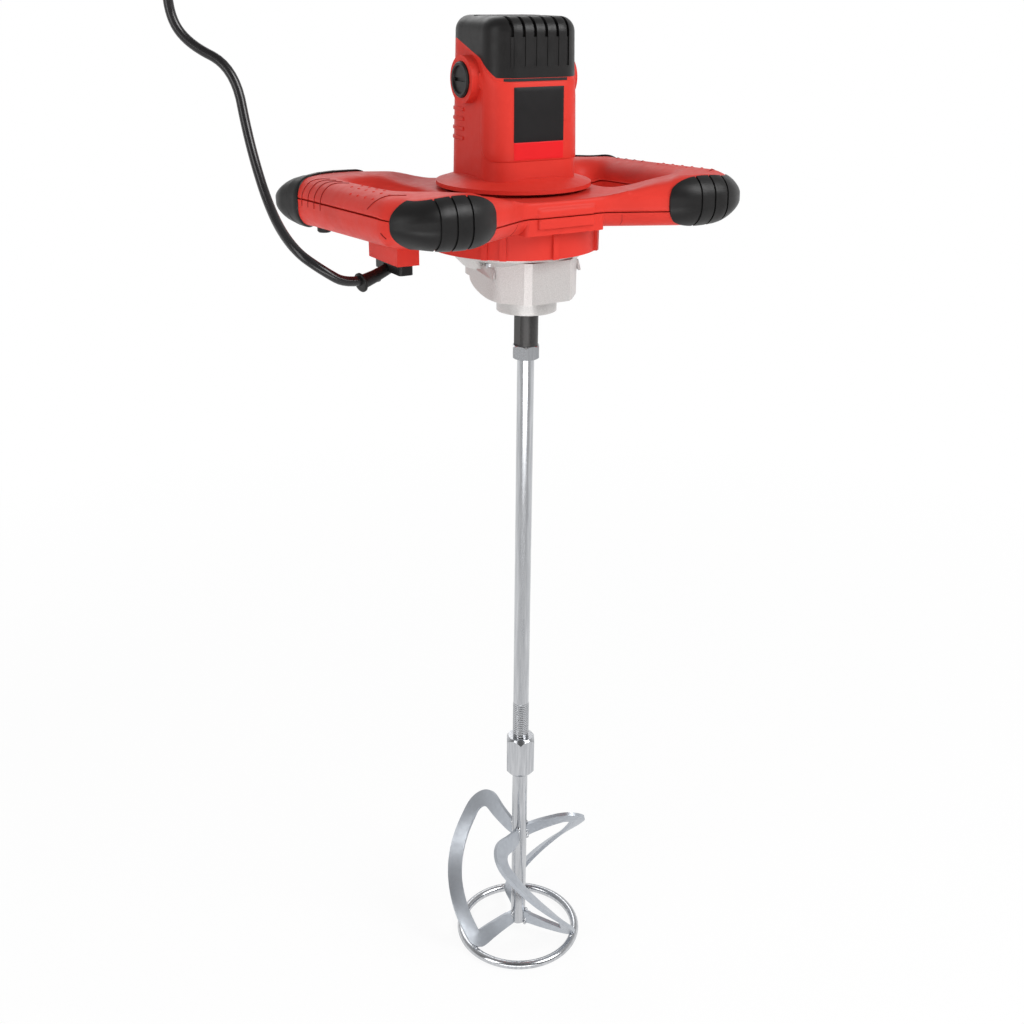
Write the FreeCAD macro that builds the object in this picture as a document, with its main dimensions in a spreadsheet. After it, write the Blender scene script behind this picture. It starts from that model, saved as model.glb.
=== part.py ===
import FreeCAD, Part
import math
import os

import Sketcher
from FreeCAD import Placement, Rotation, Vector

# Two-handed mixing drill, in millimetres. The origin is on the spindle axis at the foot of the
# gearbox nose. +Z is up, +X is the right grip and -Y is the front, where the label panel is.

# Driving dimensions: name, value, meaning
SIZES = (
    ("running_gap", 0.05, "radial gap of a shaft in its bore"),
    ("seat_gap", 0.2, "gap of a fixed piece in its seat"),
    ("moving_gap", 0.5, "gap round a piece that slides or turns in the housing"),
    ("motor_offset", 22.0, "motor axis behind the spindle axis"),
    ("spindle_dia", 19.5, "spindle below the nose"),
    ("spindle_drop", 29.0, "spindle end below the nose"),
    ("spindle_flats", 17.0, "spanner flats on the spindle"),
    ("spindle_seat_dia", 17.0, "spindle in its lower bearing"),
    ("spindle_gear_bore", 14.0, "spindle in its gear"),
    ("spindle_tip_dia", 10.0, "spindle in its upper bearing"),
    ("stud_dia", 12.0, "threaded end of the rod"),
    ("stud_length", 20.0, "threaded end inside the spindle"),
    ("rod_dia", 14.0, "mixing rod"),
    ("lock_nut_width", 21.0, "lock nut across flats"),
    ("lock_nut_height", 11.0, "lock nut height"),
    ("coupling_drop", 400.0, "top of the rod coupling below the nose"),
    ("coupling_width", 25.0, "rod coupling across flats"),
    ("coupling_length", 39.0, "rod coupling length"),
    ("coupling_bevel", 3.0, "rod coupling bevel"),
    ("ring_drop", 622.0, "mixing ring centre below the nose"),
    ("ring_dia", 120.0, "mixing ring outside"),
    ("ring_wire", 8.0, "mixing ring wire"),
    ("rod_foot_rise", 6.0, "rod foot above the ring centre"),
    ("blade_width", 13.5, "blade strip width"),
    ("blade_thick", 3.5, "blade strip thickness"),
    ("blade_weld_rise", 99.0, "upper blade weld above the lower weld"),
    ("blade_crest", 17.0, "blade crest above the upper weld"),
    ("blade_bow", 5.0, "outward bow in the middle of a blade's leg"),
    ("blade_lean", 9.0, "blade crest outside the blade foot"),
    ("blade_foot_rise", 6.0, "lower blade weld above the blade foot"),
    ("blade_bend", 16.0, "bend radius of the blade strip at its crest"),
    ("blade_foot_bend", 7.5, "bend radius of the blade strip on the ring"),
    ("blade_twist", 95.0, "twist of a blade in degrees"),
    ("blade_turn", -26.0, "direction of the first blade's crest in degrees"),
    ("first_module", 0.7, "module of the motor stage"),
    ("first_pinion_teeth", 10, "teeth on the armature shaft"),
    ("first_gear_teeth", 46, "teeth on the intermediate gear"),
    ("second_module", 1.1, "module of the spindle stage"),
    ("second_pinion_teeth", 10, "teeth on the intermediate shaft"),
    ("second_gear_teeth", 40, "teeth on the spindle gear"),
    ("pressure_angle", 25.0, "gear pressure angle in degrees"),
    ("tooth_backlash", 0.16, "play between meshing teeth"),
    ("spindle_gear_base", 22.0, "foot of the spindle gear"),
    ("spindle_gear_width", 11.0, "spindle gear width"),
    ("first_gear_width", 8.0, "intermediate gear width"),
    ("gear_spacing", 2.0, "height between neighbouring gears"),
    ("intermediate_dia", 8.0, "intermediate shaft in its bushes"),
    ("bush_wall", 3.0, "bush wall"),
    ("bush_length", 3.5, "bush length"),
    ("nose_dia", 48.0, "gearbox nose"),
    ("nose_height", 12.0, "gearbox nose height"),
    ("gearbox_height", 48.0, "top of the gearbox"),
    ("gearbox_half_width", 40.0, "gearbox body to each side"),
    ("gearbox_front", 36.0, "gearbox front face before the spindle axis"),
    ("gearbox_front_width", 42.0, "width of the gearbox front face"),
    ("gearbox_rear", 58.0, "gearbox back behind the spindle axis"),
    ("gearbox_shoulder", 27.0, "height where the gearbox sides start to draw in"),
    ("gearbox_wall", 4.0, "gearbox wall"),
    ("gearbox_edge", 20.0, "rounding of the gearbox edges"),
    ("flange_dia", 100.0, "gearbox flange"),
    ("flange_offset", 17.0, "flange centre behind the spindle axis"),
    ("flange_rim", 4.0, "flange rim height"),
    ("flange_slope", 8.0, "height of the slope under the flange rim"),
    ("flange_inset", 11.5, "slope's inner edge inside the flange"),
    ("flange_screw_aside", 36.0, "gearbox screws beside the spindle axis"),
    ("flange_screw_apart", 46.0, "gearbox screws front to back"),
    ("gearbox_bevel", 4.0, "bevel beside the gearbox front face"),
    ("belly_reach", 57.6, "belly's rounding about its own centre"),
    ("belly_depth", 18.9, "depth of the belly's rounding"),
    ("belly_centre", 20.0, "belly's centre before the spindle axis"),
    ("screw_dia", 5.0, "case screws"),
    ("screw_head_dia", 9.0, "case screw heads"),
    ("screw_head_height", 4.0, "case screw head height"),
    ("plate_thick", 8.0, "bearing plate between gearbox and motor"),
    ("shaft_dia", 8.0, "armature shaft in its bearings"),
    ("ball_bearing_dia", 22.0, "motor bearing outside"),
    ("ball_bearing_width", 7.0, "motor bearing width"),
    ("spindle_bearing_dia", 35.0, "spindle lower bearing outside"),
    ("spindle_bearing_width", 10.0, "spindle lower bearing width"),
    ("spindle_top_bearing_dia", 20.0, "spindle upper bearing outside"),
    ("spindle_top_bearing_width", 6.0, "spindle upper bearing width"),
    ("seal_height", 3.0, "spindle seal"),
    ("tower_width", 82.0, "motor housing width at its foot"),
    ("tower_depth", 80.0, "motor housing depth at its foot"),
    ("tower_draft", 3.0, "motor housing drawn in on each side at its top"),
    ("tower_corner", 20.0, "motor housing corner rounding"),
    ("tower_wall", 4.5, "motor housing wall"),
    ("tower_top", 217.0, "top of the cap"),
    ("cap_rounding", 11.0, "rounding of the cap's top edge"),
    ("cap_front_edge", 173.0, "cap's lower edge at the front"),
    ("cap_side_edge", 201.0, "cap's lower edge at the back"),
    ("skirt_dia", 121.0, "flared skirt of the motor housing"),
    ("skirt_foot", 95.0, "skirt's lower edge"),
    ("skirt_height", 9.0, "skirt height"),
    ("skirt_edge", 3.0, "thickness of the skirt's edge"),
    ("vent_width", 2.6, "vent groove in the cap"),
    ("vent_pitch", 9.5, "spacing of the vent grooves"),
    ("vent_depth", 2.4, "vent groove depth"),
    ("brush_height", 173.0, "brush axis"),
    ("brush_boss_dia", 34.0, "brush boss on the housing"),
    ("brush_boss_reach", 46.0, "brush boss face beside the motor axis"),
    ("brush_cap_dia", 26.0, "brush cap"),
    ("brush_cap_depth", 7.0, "brush cap thickness"),
    ("brush_cap_proud", 2.0, "brush cap standing out of its boss"),
    ("brush_width", 6.0, "carbon brush width"),
    ("brush_depth", 9.0, "carbon brush height"),
    ("brush_length", 11.0, "carbon brush length"),
    ("brush_holder_wall", 1.5, "brush holder wall"),
    ("brush_holder_reach", 41.0, "outer end of the brush holder"),
    ("stator_base", 91.0, "foot of the stator"),
    ("stator_length", 54.0, "stator length"),
    ("stator_width", 68.0, "stator width"),
    ("stator_bore", 54.0, "stator bore"),
    ("coil_bar", 6.0, "field coil thickness"),
    ("air_gap", 0.6, "gap between armature and stator"),
    ("core_slot", 3.0, "armature slot width"),
    ("core_slots", 12, "armature slots"),
    ("winding_reach", 9.0, "armature winding past the core"),
    ("commutator_dia", 25.0, "commutator"),
    ("commutator_length", 20.0, "commutator length"),
    ("fan_dia", 66.0, "cooling fan"),
    ("fan_base", 63.0, "foot of the fan"),
    ("fan_height", 11.0, "fan blade height"),
    ("fan_blades", 11, "fan blades"),
    ("bridge_base", 187.0, "foot of the upper bearing bridge"),
    ("bridge_height", 13.0, "upper bearing bridge height"),
    ("bridge_depth", 30.0, "upper bearing bridge front to back"),
    ("grip_reach", 153.0, "outer face of each grip beside the motor axis"),
    ("loop_reach", 111.0, "front and back of the handles from the motor axis"),
    ("handle_base", 66.6, "underside of the handles"),
    ("handle_height", 37.0, "handle height"),
    ("handle_corner", 36.0, "corner rounding of the handles at the front"),
    ("horn_corner", 24.0, "corner rounding of the handles at the back"),
    ("horn_flare", 13.0, "rear corners standing out beside the grips"),
    ("horn_reach", 10.0, "rear corners standing out behind the arms"),
    ("horn_start", 66.0, "where a grip starts to flare, behind the handles' middle"),
    ("horn_bend", 70.0, "rounding where a grip starts to flare"),
    ("arm_corner", 48.0, "rounding where an arm turns along the handle's front or back"),
    ("handle_edge", 15.5, "edge rounding of the handles"),
    ("handle_fall", 0.045, "fall of the handles towards the back for each millimetre"),
    ("handle_shift", 4.0, "middle of the handles before the motor axis"),
    ("panel_half_width", 35.0, "half width of the front panel"),
    ("panel_reach", 77.0, "front panel from the motor axis"),
    ("panel_raise", 2.0, "raised field on the front panel"),
    ("panel_border", 10.0, "border beside the raised field"),
    ("arm_bend", 90.0, "place where an arm turns along the handle's front"),
    ("grip_thick", 37.0, "grip front to inside"),
    ("arm_thick", 36.0, "arm thickness at the corners"),
    ("loop_root", 67.0, "side of the centre part in the finger gap"),
    ("loop_root_half", 30.0, "half length of the finger gap at its root"),
    ("loop_corner", 15.0, "corner rounding of the finger gap"),
    ("dish_height", 92.5, "top of the centre part"),
    ("dish_dia", 148.0, "flat top of the centre part"),
    ("dish_rim_dia", 250.0, "where the arms reach their full height"),
    ("seam_centre", 78.5, "seam between the shells at the centre"),
    ("seam_grip", 89.0, "seam between the shells on the grips"),
    ("seam_gap", 0.4, "open seam between the shells"),
    ("seam_low_reach", 96.0, "where the seam starts to rise"),
    ("seam_high_reach", 122.0, "where the seam has risen"),
    ("collar_dia", 136.0, "ring of the lower shell round the gearbox"),
    ("well_dia", 108.0, "well in the shells round the motor"),
    ("collar_rib", 5.0, "vertical ribs on the ring"),
    ("bumper_proud", 1.5, "bumper standing out of the handle"),
    ("bumper_inner", 75.0, "inner end of a bumper beside the motor axis"),
    ("bumper_front", 91.0, "front bumper end along the grip, before the handles' middle"),
    ("bumper_back", 80.0, "rear bumper end along the grip, behind the handles' middle"),
    ("bumper_wrap", 13.0, "bumper reach over the top and the underside"),
    ("bumper_end_radius", 18.0, "rounded inner end of a bumper"),
    ("bumper_groove", 1.6, "bumper groove width"),
    ("bumper_groove_depth", 1.1, "bumper groove depth"),
    ("bumper_groove_start", 98.0, "first bumper groove beside the motor axis"),
    ("bumper_groove_pitch", 12.5, "spacing of the bumper grooves"),
    ("switch_length", 62.0, "switch length along the grip"),
    ("switch_height", 22.0, "switch height"),
    ("switch_thick", 12.0, "switch thickness"),
    ("trigger_length", 66.0, "trigger length"),
    ("trigger_height", 19.0, "trigger height"),
    ("trigger_proud", 8.0, "trigger standing into the finger gap"),
    ("trigger_depth", 13.0, "trigger inside the grip"),
    ("trigger_travel", 6.0, "trigger travel"),
    ("trigger_shift", 10.0, "trigger centre behind the motor axis"),
    ("button_dia", 11.0, "lock button"),
    ("button_proud", 4.0, "lock button below the grip"),
    ("button_depth", 9.0, "lock button inside the grip"),
    ("button_travel", 3.0, "lock button travel"),
    ("button_shift", 62.0, "lock button behind the motor axis"),
    ("dial_dia", 24.0, "speed dial"),
    ("dial_height", 8.0, "speed dial height"),
    ("dial_proud", 5.0, "speed dial standing into the finger gap"),
    ("dial_shift", 44.0, "speed dial before the motor axis"),
    ("wire", 1.1, "spring wire"),
    ("spring_turns", 4, "turns of a spring"),
    ("block_inset", 33.0, "cord block's inner side, in from the grip's outer face"),
    ("block_width", 17.0, "cord block width"),
    ("block_front", 73.0, "cord block's front before the motor axis"),
    ("block_length", 47.0, "cord block length"),
    ("block_foot", 56.0, "underside of the red cord block"),
    ("clamp_thick", 7.0, "cord clamp below the block"),
    ("clamp_inset", 3.0, "cord clamp edge inside the block's edge"),
    ("sleeve_dia", 10.0, "strain relief at the clamp"),
    ("sleeve_end_dia", 12.5, "strain relief before its flange"),
    ("sleeve_flange_dia", 16.0, "strain relief flange"),
    ("sleeve_flange", 1.8, "strain relief flange thickness"),
    ("sleeve_length", 26.0, "strain relief length"),
    ("sleeve_slope", 4.0, "strain relief slope in degrees"),
    ("sleeve_yaw", 13.0, "strain relief turned to the front in degrees"),
    ("sleeve_exit", 47.0, "strain relief before the motor axis"),
    ("cord_dia", 7.0, "power cord"),
    ("coil_radius", 49.0, "outermost turn of the put-away cord"),
    ("coil_pitch", 7.8, "spacing of the turns and of the two layers"),
    ("coil_layer_turns", 3, "turns in each layer"),
    ("coil_tail", 36.0, "straight end of the coil before the plug"),
    ("tie_width", 12.0, "cord tie width"),
    ("tie_thick", 1.6, "cord tie thickness"),
    ("plug_length", 38.0, "plug body length"),
    ("plug_width", 24.0, "plug body width"),
    ("plug_thick", 15.0, "plug body thickness"),
    ("plug_blade_length", 17.0, "plug blade length"),
    ("plug_blade_width", 6.3, "plug blade width"),
    ("plug_blade_thick", 1.5, "plug blade thickness"),
    ("plug_blade_pitch", 12.7, "spacing of the plug blades"),
)

# Middle line of the free cord after the strain relief, chosen by hand: it swings out past the
# left grip, rises beside it and turns up into the coil.
CORD_ROUTE = (
    Vector(-185.0, -30.8, 55.4),
    Vector(-199.4, -16.4, 68.1),
    Vector(-201.0, 20.0, 88.5),
    Vector(-203.0, 49.0, 134.0),
    Vector(-205.0, 61.5, 183.0),
    Vector(-232.0, 81.0, 198.5),
    Vector(-241.5, 87.0, 219.0),
    Vector(-239.0, 85.3, 253.0),
    Vector(-240.0, 86.3, 287.0),
)

doc = FreeCAD.newDocument("MixingDrill")
sheet = doc.addObject("Spreadsheet::Sheet", "Sizes")
nodes = []


class Size:
    """A number that remembers the sheet formula it came from."""

    def __init__(self, value, formula):
        self.value = value
        self.formula = formula

    def joined(self, other, sign, value):
        return Size(value, "(%s %s %s)" % (self.formula, sign, formula_of(other)))

    def __add__(self, other):
        return self.joined(other, "+", self.value + number(other))

    def __sub__(self, other):
        return self.joined(other, "-", self.value - number(other))

    def __mul__(self, other):
        return self.joined(other, "*", self.value * number(other))

    def __truediv__(self, other):
        return self.joined(other, "/", self.value / number(other))

    def __radd__(self, other):
        return self + other

    def __rmul__(self, other):
        return self * other

    def __rsub__(self, other):
        return Size(number(other), formula_of(other)) - self

    def __neg__(self):
        return Size(-self.value, "(0 - %s)" % self.formula)


class Sizes:
    """The driving dimensions by name."""


def number(size):
    return size.value if isinstance(size, Size) else float(size)


def formula_of(size):
    return size.formula if isinstance(size, Size) else repr(float(size))


def fill_sheet():
    """Writes the driving dimensions to the sheet and gives each its alias."""
    for row, (name, value, meaning) in enumerate(SIZES, start=1):
        sheet.set("A%d" % row, name)
        sheet.set("B%d" % row, str(value))
        sheet.set("C%d" % row, meaning)
        sheet.setAlias("B%d" % row, name)
        setattr(Sizes, name, Size(float(value), "Sizes." + name))
    doc.recompute()


fill_sheet()
d = Sizes


def tie(thing, **sizes):
    """Ties properties of an object to the sheet."""
    for name, size in sizes.items():
        if isinstance(size, Size):
            thing.setExpression(name, size.formula)
        else:
            setattr(thing, name, size)


def put(thing, x=0, y=0, z=0, turn=None):
    """Places an object, with its position tied to the sheet."""
    thing.Placement = Placement(Vector(number(x), number(y), number(z)), turn or Rotation())
    for axis, size in (("x", x), ("y", y), ("z", z)):
        if isinstance(size, Size):
            thing.setExpression("Placement.Base." + axis, size.formula)
    return thing


def node(label, thing):
    """Makes an object a sub-part of the drill."""
    thing.Label = label
    nodes.append(thing)
    return thing


ALONG_X = Rotation(Vector(0, 1, 0), 90)
ALONG_MINUS_X = Rotation(Vector(0, 1, 0), -90)


def cylinder(radius, height, x=0, y=0, z=0, turn=None):
    solid = doc.addObject("Part::Cylinder", "Cylinder")
    tie(solid, Radius=radius, Height=height)
    return put(solid, x, y, z, turn)


def box(length, width, height, x=0, y=0, z=0):
    solid = doc.addObject("Part::Box", "Box")
    tie(solid, Length=length, Width=width, Height=height)
    return put(solid, x, y, z)


def cone(low_radius, high_radius, height, x=0, y=0, z=0):
    solid = doc.addObject("Part::Cone", "Cone")
    tie(solid, Radius1=low_radius, Radius2=high_radius, Height=height)
    return put(solid, x, y, z)


def fuse(*solids):
    whole = doc.addObject("Part::MultiFuse", "Fuse")
    whole.Shapes = list(solids)
    whole.Refine = True
    return whole


def cut(base, *tools):
    rest = doc.addObject("Part::Cut", "Cut")
    rest.Base = base
    rest.Tool = tools[0] if len(tools) == 1 else fuse(*tools)
    rest.Refine = True
    return rest


def common(first, second):
    shared = doc.addObject("Part::MultiCommon", "Common")
    shared.Shapes = [first, second]
    return shared


def mirrored(source, normal, base=Vector()):
    copy = doc.addObject("Part::Mirroring", "Mirror")
    copy.Source = source
    copy.Normal = normal
    copy.Base = base
    return copy


def feature(shape):
    """Holds a shape that no standard feature makes."""
    solid = doc.addObject("Part::Feature", "Shape")
    solid.Shape = shape
    return solid


def new_body():
    return doc.addObject("PartDesign::Body", "Body")


def plane_of(body, role):
    for plane in body.Origin.OriginFeatures:
        if plane.Role == role:
            return plane
    raise ValueError(role)


def pin_corner(line, direction, size):
    """A constraint that holds the start of a line at a distance from the sketch origin."""
    value = number(size)
    if value == 0:
        axis = -2 if direction == "DistanceX" else -1
        return Sketcher.Constraint("PointOnObject", line, 1, axis), None
    if value > 0:
        return Sketcher.Constraint(direction, -1, 1, line, 1, value), formula_of(size)
    return Sketcher.Constraint(direction, line, 1, -1, 1, -value), "0 - " + formula_of(size)


def draw_outline(sketch, corners):
    """Draws a closed outline of straight lines with every corner tied to the sheet."""
    first = sketch.GeometryCount
    count = len(corners)
    points = [Vector(number(x), number(y), 0) for x, y in corners]
    lines = [Part.LineSegment(points[i], points[(i + 1) % count]) for i in range(count)]
    sketch.addGeometry(lines, False)
    joins = []
    for i in range(count):
        joins.append(Sketcher.Constraint("Coincident", first + i, 2, first + (i + 1) % count, 1))
    sketch.addConstraint(joins)
    for i, (x, y) in enumerate(corners):
        for direction, size in (("DistanceX", x), ("DistanceY", y)):
            constraint, formula = pin_corner(first + i, direction, size)
            index = sketch.addConstraint(constraint)
            if formula and isinstance(size, Size):
                sketch.setExpression("Constraints[%d]" % index, formula)


def sketch_on(body, role, lift, *outlines):
    sketch = body.newObject("Sketcher::SketchObject", "Outline")
    sketch.AttachmentSupport = [(plane_of(body, role), "")]
    sketch.MapMode = "FlatFace"
    if isinstance(lift, Size):
        sketch.setExpression("AttachmentOffset.Base.z", lift.formula)
    for outline in outlines:
        draw_outline(sketch, outline)
    return sketch


def turned(outline, x=0, y=0, z=0, turn=None):
    """A piece turned about its own Z axis from an outline of radius and height."""
    body = new_body()
    sketch = sketch_on(body, "XZ_Plane", 0, outline)
    spin = body.newObject("PartDesign::Revolution", "Turning")
    spin.Profile = sketch
    spin.ReferenceAxis = (sketch, ["V_Axis"])
    spin.Angle = 360
    return put(body, x, y, z, turn)


def prism(height, *outlines, base=0, role="XY_Plane"):
    """A straight piece raised from an outline; further outlines are holes."""
    body = new_body()
    pad = body.newObject("PartDesign::Pad", "Raising")
    pad.Profile = sketch_on(body, role, base, *outlines)
    tie(pad, Length=height)
    return body


def round_edges(body, radius, chosen):
    """Rounds those edges of a body that the test picks."""
    doc.recompute()
    base = body.Tip
    names = ["Edge%d" % (i + 1) for i, edge in enumerate(base.Shape.Edges) if chosen(edge)]
    rounding = body.newObject("PartDesign::Fillet", "Rounding")
    rounding.Base = (base, names)
    tie(rounding, Radius=radius)
    return body


def upright(edge):
    """True for an edge that runs up and down."""
    start, end = edge.Vertexes[0].Point, edge.Vertexes[-1].Point
    return abs(end.z - start.z) > 0.9 * edge.Length > 0


def level_at(height):
    """A test for edges that lie flat at a height."""
    value = number(height)

    def chosen(edge):
        return edge.BoundBox.ZLength < 1e-6 and abs(edge.BoundBox.ZMin - value) < 1e-3
    return chosen


def near(x, y):
    """A test for upright edges at a place seen from above."""
    def chosen(edge):
        middle = edge.BoundBox.Center
        return upright(edge) and math.hypot(middle.x - number(x), middle.y - number(y)) < 1e-3
    return chosen


def rectangle(half_width, half_depth, y=0):
    return [(-half_width, y - half_depth), (half_width, y - half_depth),
            (half_width, y + half_depth), (-half_width, y + half_depth)]


def hexagon(width):
    corner = width / math.sqrt(3)
    turns = [math.radians(60 * i) for i in range(6)]
    return [(corner * round(math.cos(a), 9), corner * round(math.sin(a), 9)) for a in turns]


def ring(outer, inner, height, x=0, y=0, z=0, turn=None):
    """A plain ring from its radii."""
    return turned([(inner, 0), (outer, 0), (outer, height), (inner, height)], x, y, z, turn)


def bearing(bore, outside, width, x, y, z):
    """A ball bearing with a groove between its rings on both faces."""
    inner = bore / 2 + d.running_gap
    outer = outside / 2
    land = (outer - inner) / 3
    dip = width / 12
    outline = [(inner, 0), (inner + land, 0), (inner + land, dip), (outer - land, dip), (outer - land, 0),
               (outer, 0), (outer, width), (outer - land, width), (outer - land, width - dip),
               (inner + land, width - dip), (inner + land, width), (inner, width)]
    return turned(outline, x, y, z)


# Path helpers for cord, coil and springs

def arc_between(start, corner, end):
    """The arc that leaves start and reaches end, touching the lines to their common corner."""
    middle = (start + end) * 0.5
    half_turn = (math.pi - (start - corner).getAngle(end - corner)) / 2
    bulge = math.cos(half_turn) / (1 + math.cos(half_turn))
    return Part.Arc(start, middle + (corner - middle) * bulge, end).toShape()


def biarc(start, start_way, end, end_way):
    """Two arcs that join two points smoothly along given directions."""
    span = end - start
    ways = start_way + end_way
    bend = 2 * (1 - start_way.dot(end_way))
    along = span.dot(ways)
    if bend < 1e-9:
        return [Part.LineSegment(start, end).toShape()]
    reach = (-along + math.sqrt(along * along + bend * span.dot(span))) / bend
    first = start + start_way * reach
    second = end - end_way * reach
    joint = (first + second) * 0.5
    return [arc_between(start, first, joint), arc_between(joint, second, end)]


def tube(path, diameter, start, way):
    """A round tube along a path."""
    profile = Part.Wire([Part.Circle(start, way, diameter / 2).toShape()])
    return Part.Wire(path).makePipeShell([profile], True, False)


def winding(place, last_turn, diameter, lead=0, tail=0):
    """A tube whose middle line is given by a function of the turn, with straight ends."""
    step = 1e-4

    def way(turn):
        return (place(turn + step) - place(turn - step)).normalize()
    quarters = int(round(last_turn * 4))
    stops = [i / 4 for i in range(quarters + 1)]
    edges = []
    start, end = place(0), place(stops[-1])
    if lead:
        edges.append(Part.LineSegment(start - way(0) * lead, start).toShape())
    for low, high in zip(stops, stops[1:]):
        edges.extend(biarc(place(low), way(low), place(high), way(high)))
    if tail:
        edges.append(Part.LineSegment(end, end + way(stops[-1]) * tail).toShape())
    return tube(edges, diameter, start - way(0) * lead, way(0))


def least_gap(place, last_turn, diameter):
    """The least gap of a winding to itself, measured on points."""
    samples = int(last_turn * 48)
    points = [place(i * last_turn / samples) for i in range(samples + 1)]
    apart = [points[i].distanceToPoint(points[j]) for i in range(len(points))
             for j in range(i + 24, len(points))]
    return min(apart) - diameter


def rounded_path(points):
    """Straight runs with an arc at each corner, as large as the runs allow."""
    edges = []
    radii = []
    start = points[0]
    for before, corner, after in zip(points, points[1:], points[2:]):
        run_in, run_out = before - corner, after - corner
        half_turn = (math.pi - run_in.getAngle(run_out)) / 2
        reach = 0.45 * min(run_in.Length, run_out.Length)
        radii.append(reach / math.tan(half_turn))
        arc_start = corner + run_in.normalize() * reach
        arc_end = corner + run_out.normalize() * reach
        edges.append(Part.LineSegment(start, arc_start).toShape())
        edges.append(arc_between(arc_start, corner, arc_end))
        start = arc_end
    edges.append(Part.LineSegment(start, points[-1]).toShape())
    return edges, radii


def spring(length, radius, x, y, z, turn):
    """A compression spring whose ends run straight for one wire diameter."""
    turns = int(number(d.spring_turns))
    wire = number(d.wire)
    rise = (number(length) - wire) / turns
    reach = number(radius)

    def place(t):
        return Vector(reach * math.cos(2 * math.pi * t), reach * math.sin(2 * math.pi * t), rise * t + wire / 2)
    solid = feature(winding(place, turns, wire))
    return put(solid, x, y, z, turn)


# Heights and places that several pieces share
motor_y = d.motor_offset
plate_top = d.gearbox_height + d.plate_thick
first_gear_base = d.spindle_gear_base + d.spindle_gear_width + d.gear_spacing
first_gear_top = first_gear_base + d.first_gear_width
stator_top = d.stator_base + d.stator_length
handle_top = d.handle_base + d.handle_height
handle_y = motor_y - d.handle_shift
handle_turn = Rotation(Vector(-1, 0, 0), math.degrees(math.atan(number(d.handle_fall))))
rod_radius = d.rod_dia / 2
ring_radius = (d.ring_dia - d.ring_wire) / 2
grip_inside = d.grip_reach - d.grip_thick
block_inner = d.grip_reach - d.block_inset


def intermediate_place():
    """Where both gear pairs mesh: a triangle of the two centre distances and the motor offset."""
    first = number(d.first_module) * (number(d.first_pinion_teeth) + number(d.first_gear_teeth)) / 2
    second = number(d.second_module) * (number(d.second_pinion_teeth) + number(d.second_gear_teeth)) / 2
    base = number(motor_y)
    y = (second ** 2 - first ** 2 + base ** 2) / (2 * base)
    return math.sqrt(second ** 2 - y ** 2), y


mid_x, mid_y = intermediate_place()


# Gears

def gear_outline(module, teeth, phase):
    """Involute gear outline about the origin with one tooth centred on the phase angle."""
    pressure = math.radians(number(d.pressure_angle))
    pitch = module * teeth / 2
    base = pitch * math.cos(pressure)
    tip = pitch + 0.8 * module
    root = pitch - 1.05 * module
    half_tooth = math.pi / (2 * teeth) - number(d.tooth_backlash) / (4 * pitch)
    spread = math.tan(pressure) - pressure

    def half_angle(radius):
        lean = math.acos(min(1, base / radius))
        return half_tooth + spread - (math.tan(lean) - lean)
    foot = max(root, base)
    radii = [foot + (tip - foot) * i / 3 for i in range(4)]
    points = []
    for tooth in range(int(teeth)):
        middle = phase + 2 * math.pi * tooth / teeth
        rising = [(r, middle - half_angle(r)) for r in radii]
        falling = [(r, middle + half_angle(r)) for r in reversed(radii)]
        valley = middle + math.pi / teeth
        root_half = math.pi / teeth - half_angle(foot)
        points += rising + falling + [(root, valley - root_half), (root, valley + root_half)]
    return [Vector(r * math.cos(a), r * math.sin(a), 0) for r, a in points]


def toothed(module, teeth, width, phase):
    """A spur gear blank with its teeth, standing on the ground plane."""
    points = gear_outline(module, int(teeth), phase)
    face = Part.Face(Part.makePolygon(points + points[:1]))
    return feature(face.extrude(Vector(0, 0, number(width))))


# Angles at which the teeth mesh at rest
to_intermediate = math.atan2(mid_y, mid_x)
to_motor = math.atan2(number(motor_y) - mid_y, -mid_x)


def mesh_phase(direction, teeth):
    """Phase of a gear that has a gap towards a direction."""
    return direction + math.pi / teeth


def make_spindle_gear():
    blank = toothed(number(d.second_module), number(d.second_gear_teeth), d.spindle_gear_width, to_intermediate)
    put(blank, 0, 0, d.spindle_gear_base)
    bore = cylinder(d.spindle_gear_bore / 2 + d.running_gap, d.spindle_gear_width, z=d.spindle_gear_base)
    node("spindle_gear", cut(blank, bore))


def make_intermediate():
    """The intermediate shaft carries its own pinion and the large gear above it."""
    radius = d.intermediate_dia / 2
    foot = d.spindle_gear_base - d.gear_spacing / 2
    low = foot - d.bush_length
    shaft = cylinder(radius, d.gearbox_height + d.bush_length - d.seat_gap * 2 - low, mid_x, mid_y, low)
    teeth = number(d.second_pinion_teeth)
    phase = mesh_phase(to_intermediate + math.pi, teeth)
    pinion = toothed(number(d.second_module), teeth, first_gear_base - foot, phase)
    put(pinion, mid_x, mid_y, foot)
    node("intermediate_shaft", fuse(shaft, pinion))
    teeth = number(d.first_gear_teeth)
    wheel = toothed(number(d.first_module), teeth, d.first_gear_width, to_motor)
    put(wheel, mid_x, mid_y, first_gear_base)
    bore = cylinder(radius + d.running_gap, d.first_gear_width, mid_x, mid_y, first_gear_base)
    node("intermediate_gear", cut(wheel, bore))
    bush_radius = radius + d.bush_wall
    node("intermediate_bush_lower",
         ring(bush_radius, radius + d.running_gap, d.bush_length - d.seat_gap, mid_x, mid_y, low))
    node("intermediate_bush_upper",
         ring(bush_radius, radius + d.running_gap, d.bush_length, mid_x, mid_y, d.gearbox_height - d.seat_gap))


# Spindle, rod and paddle

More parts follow.
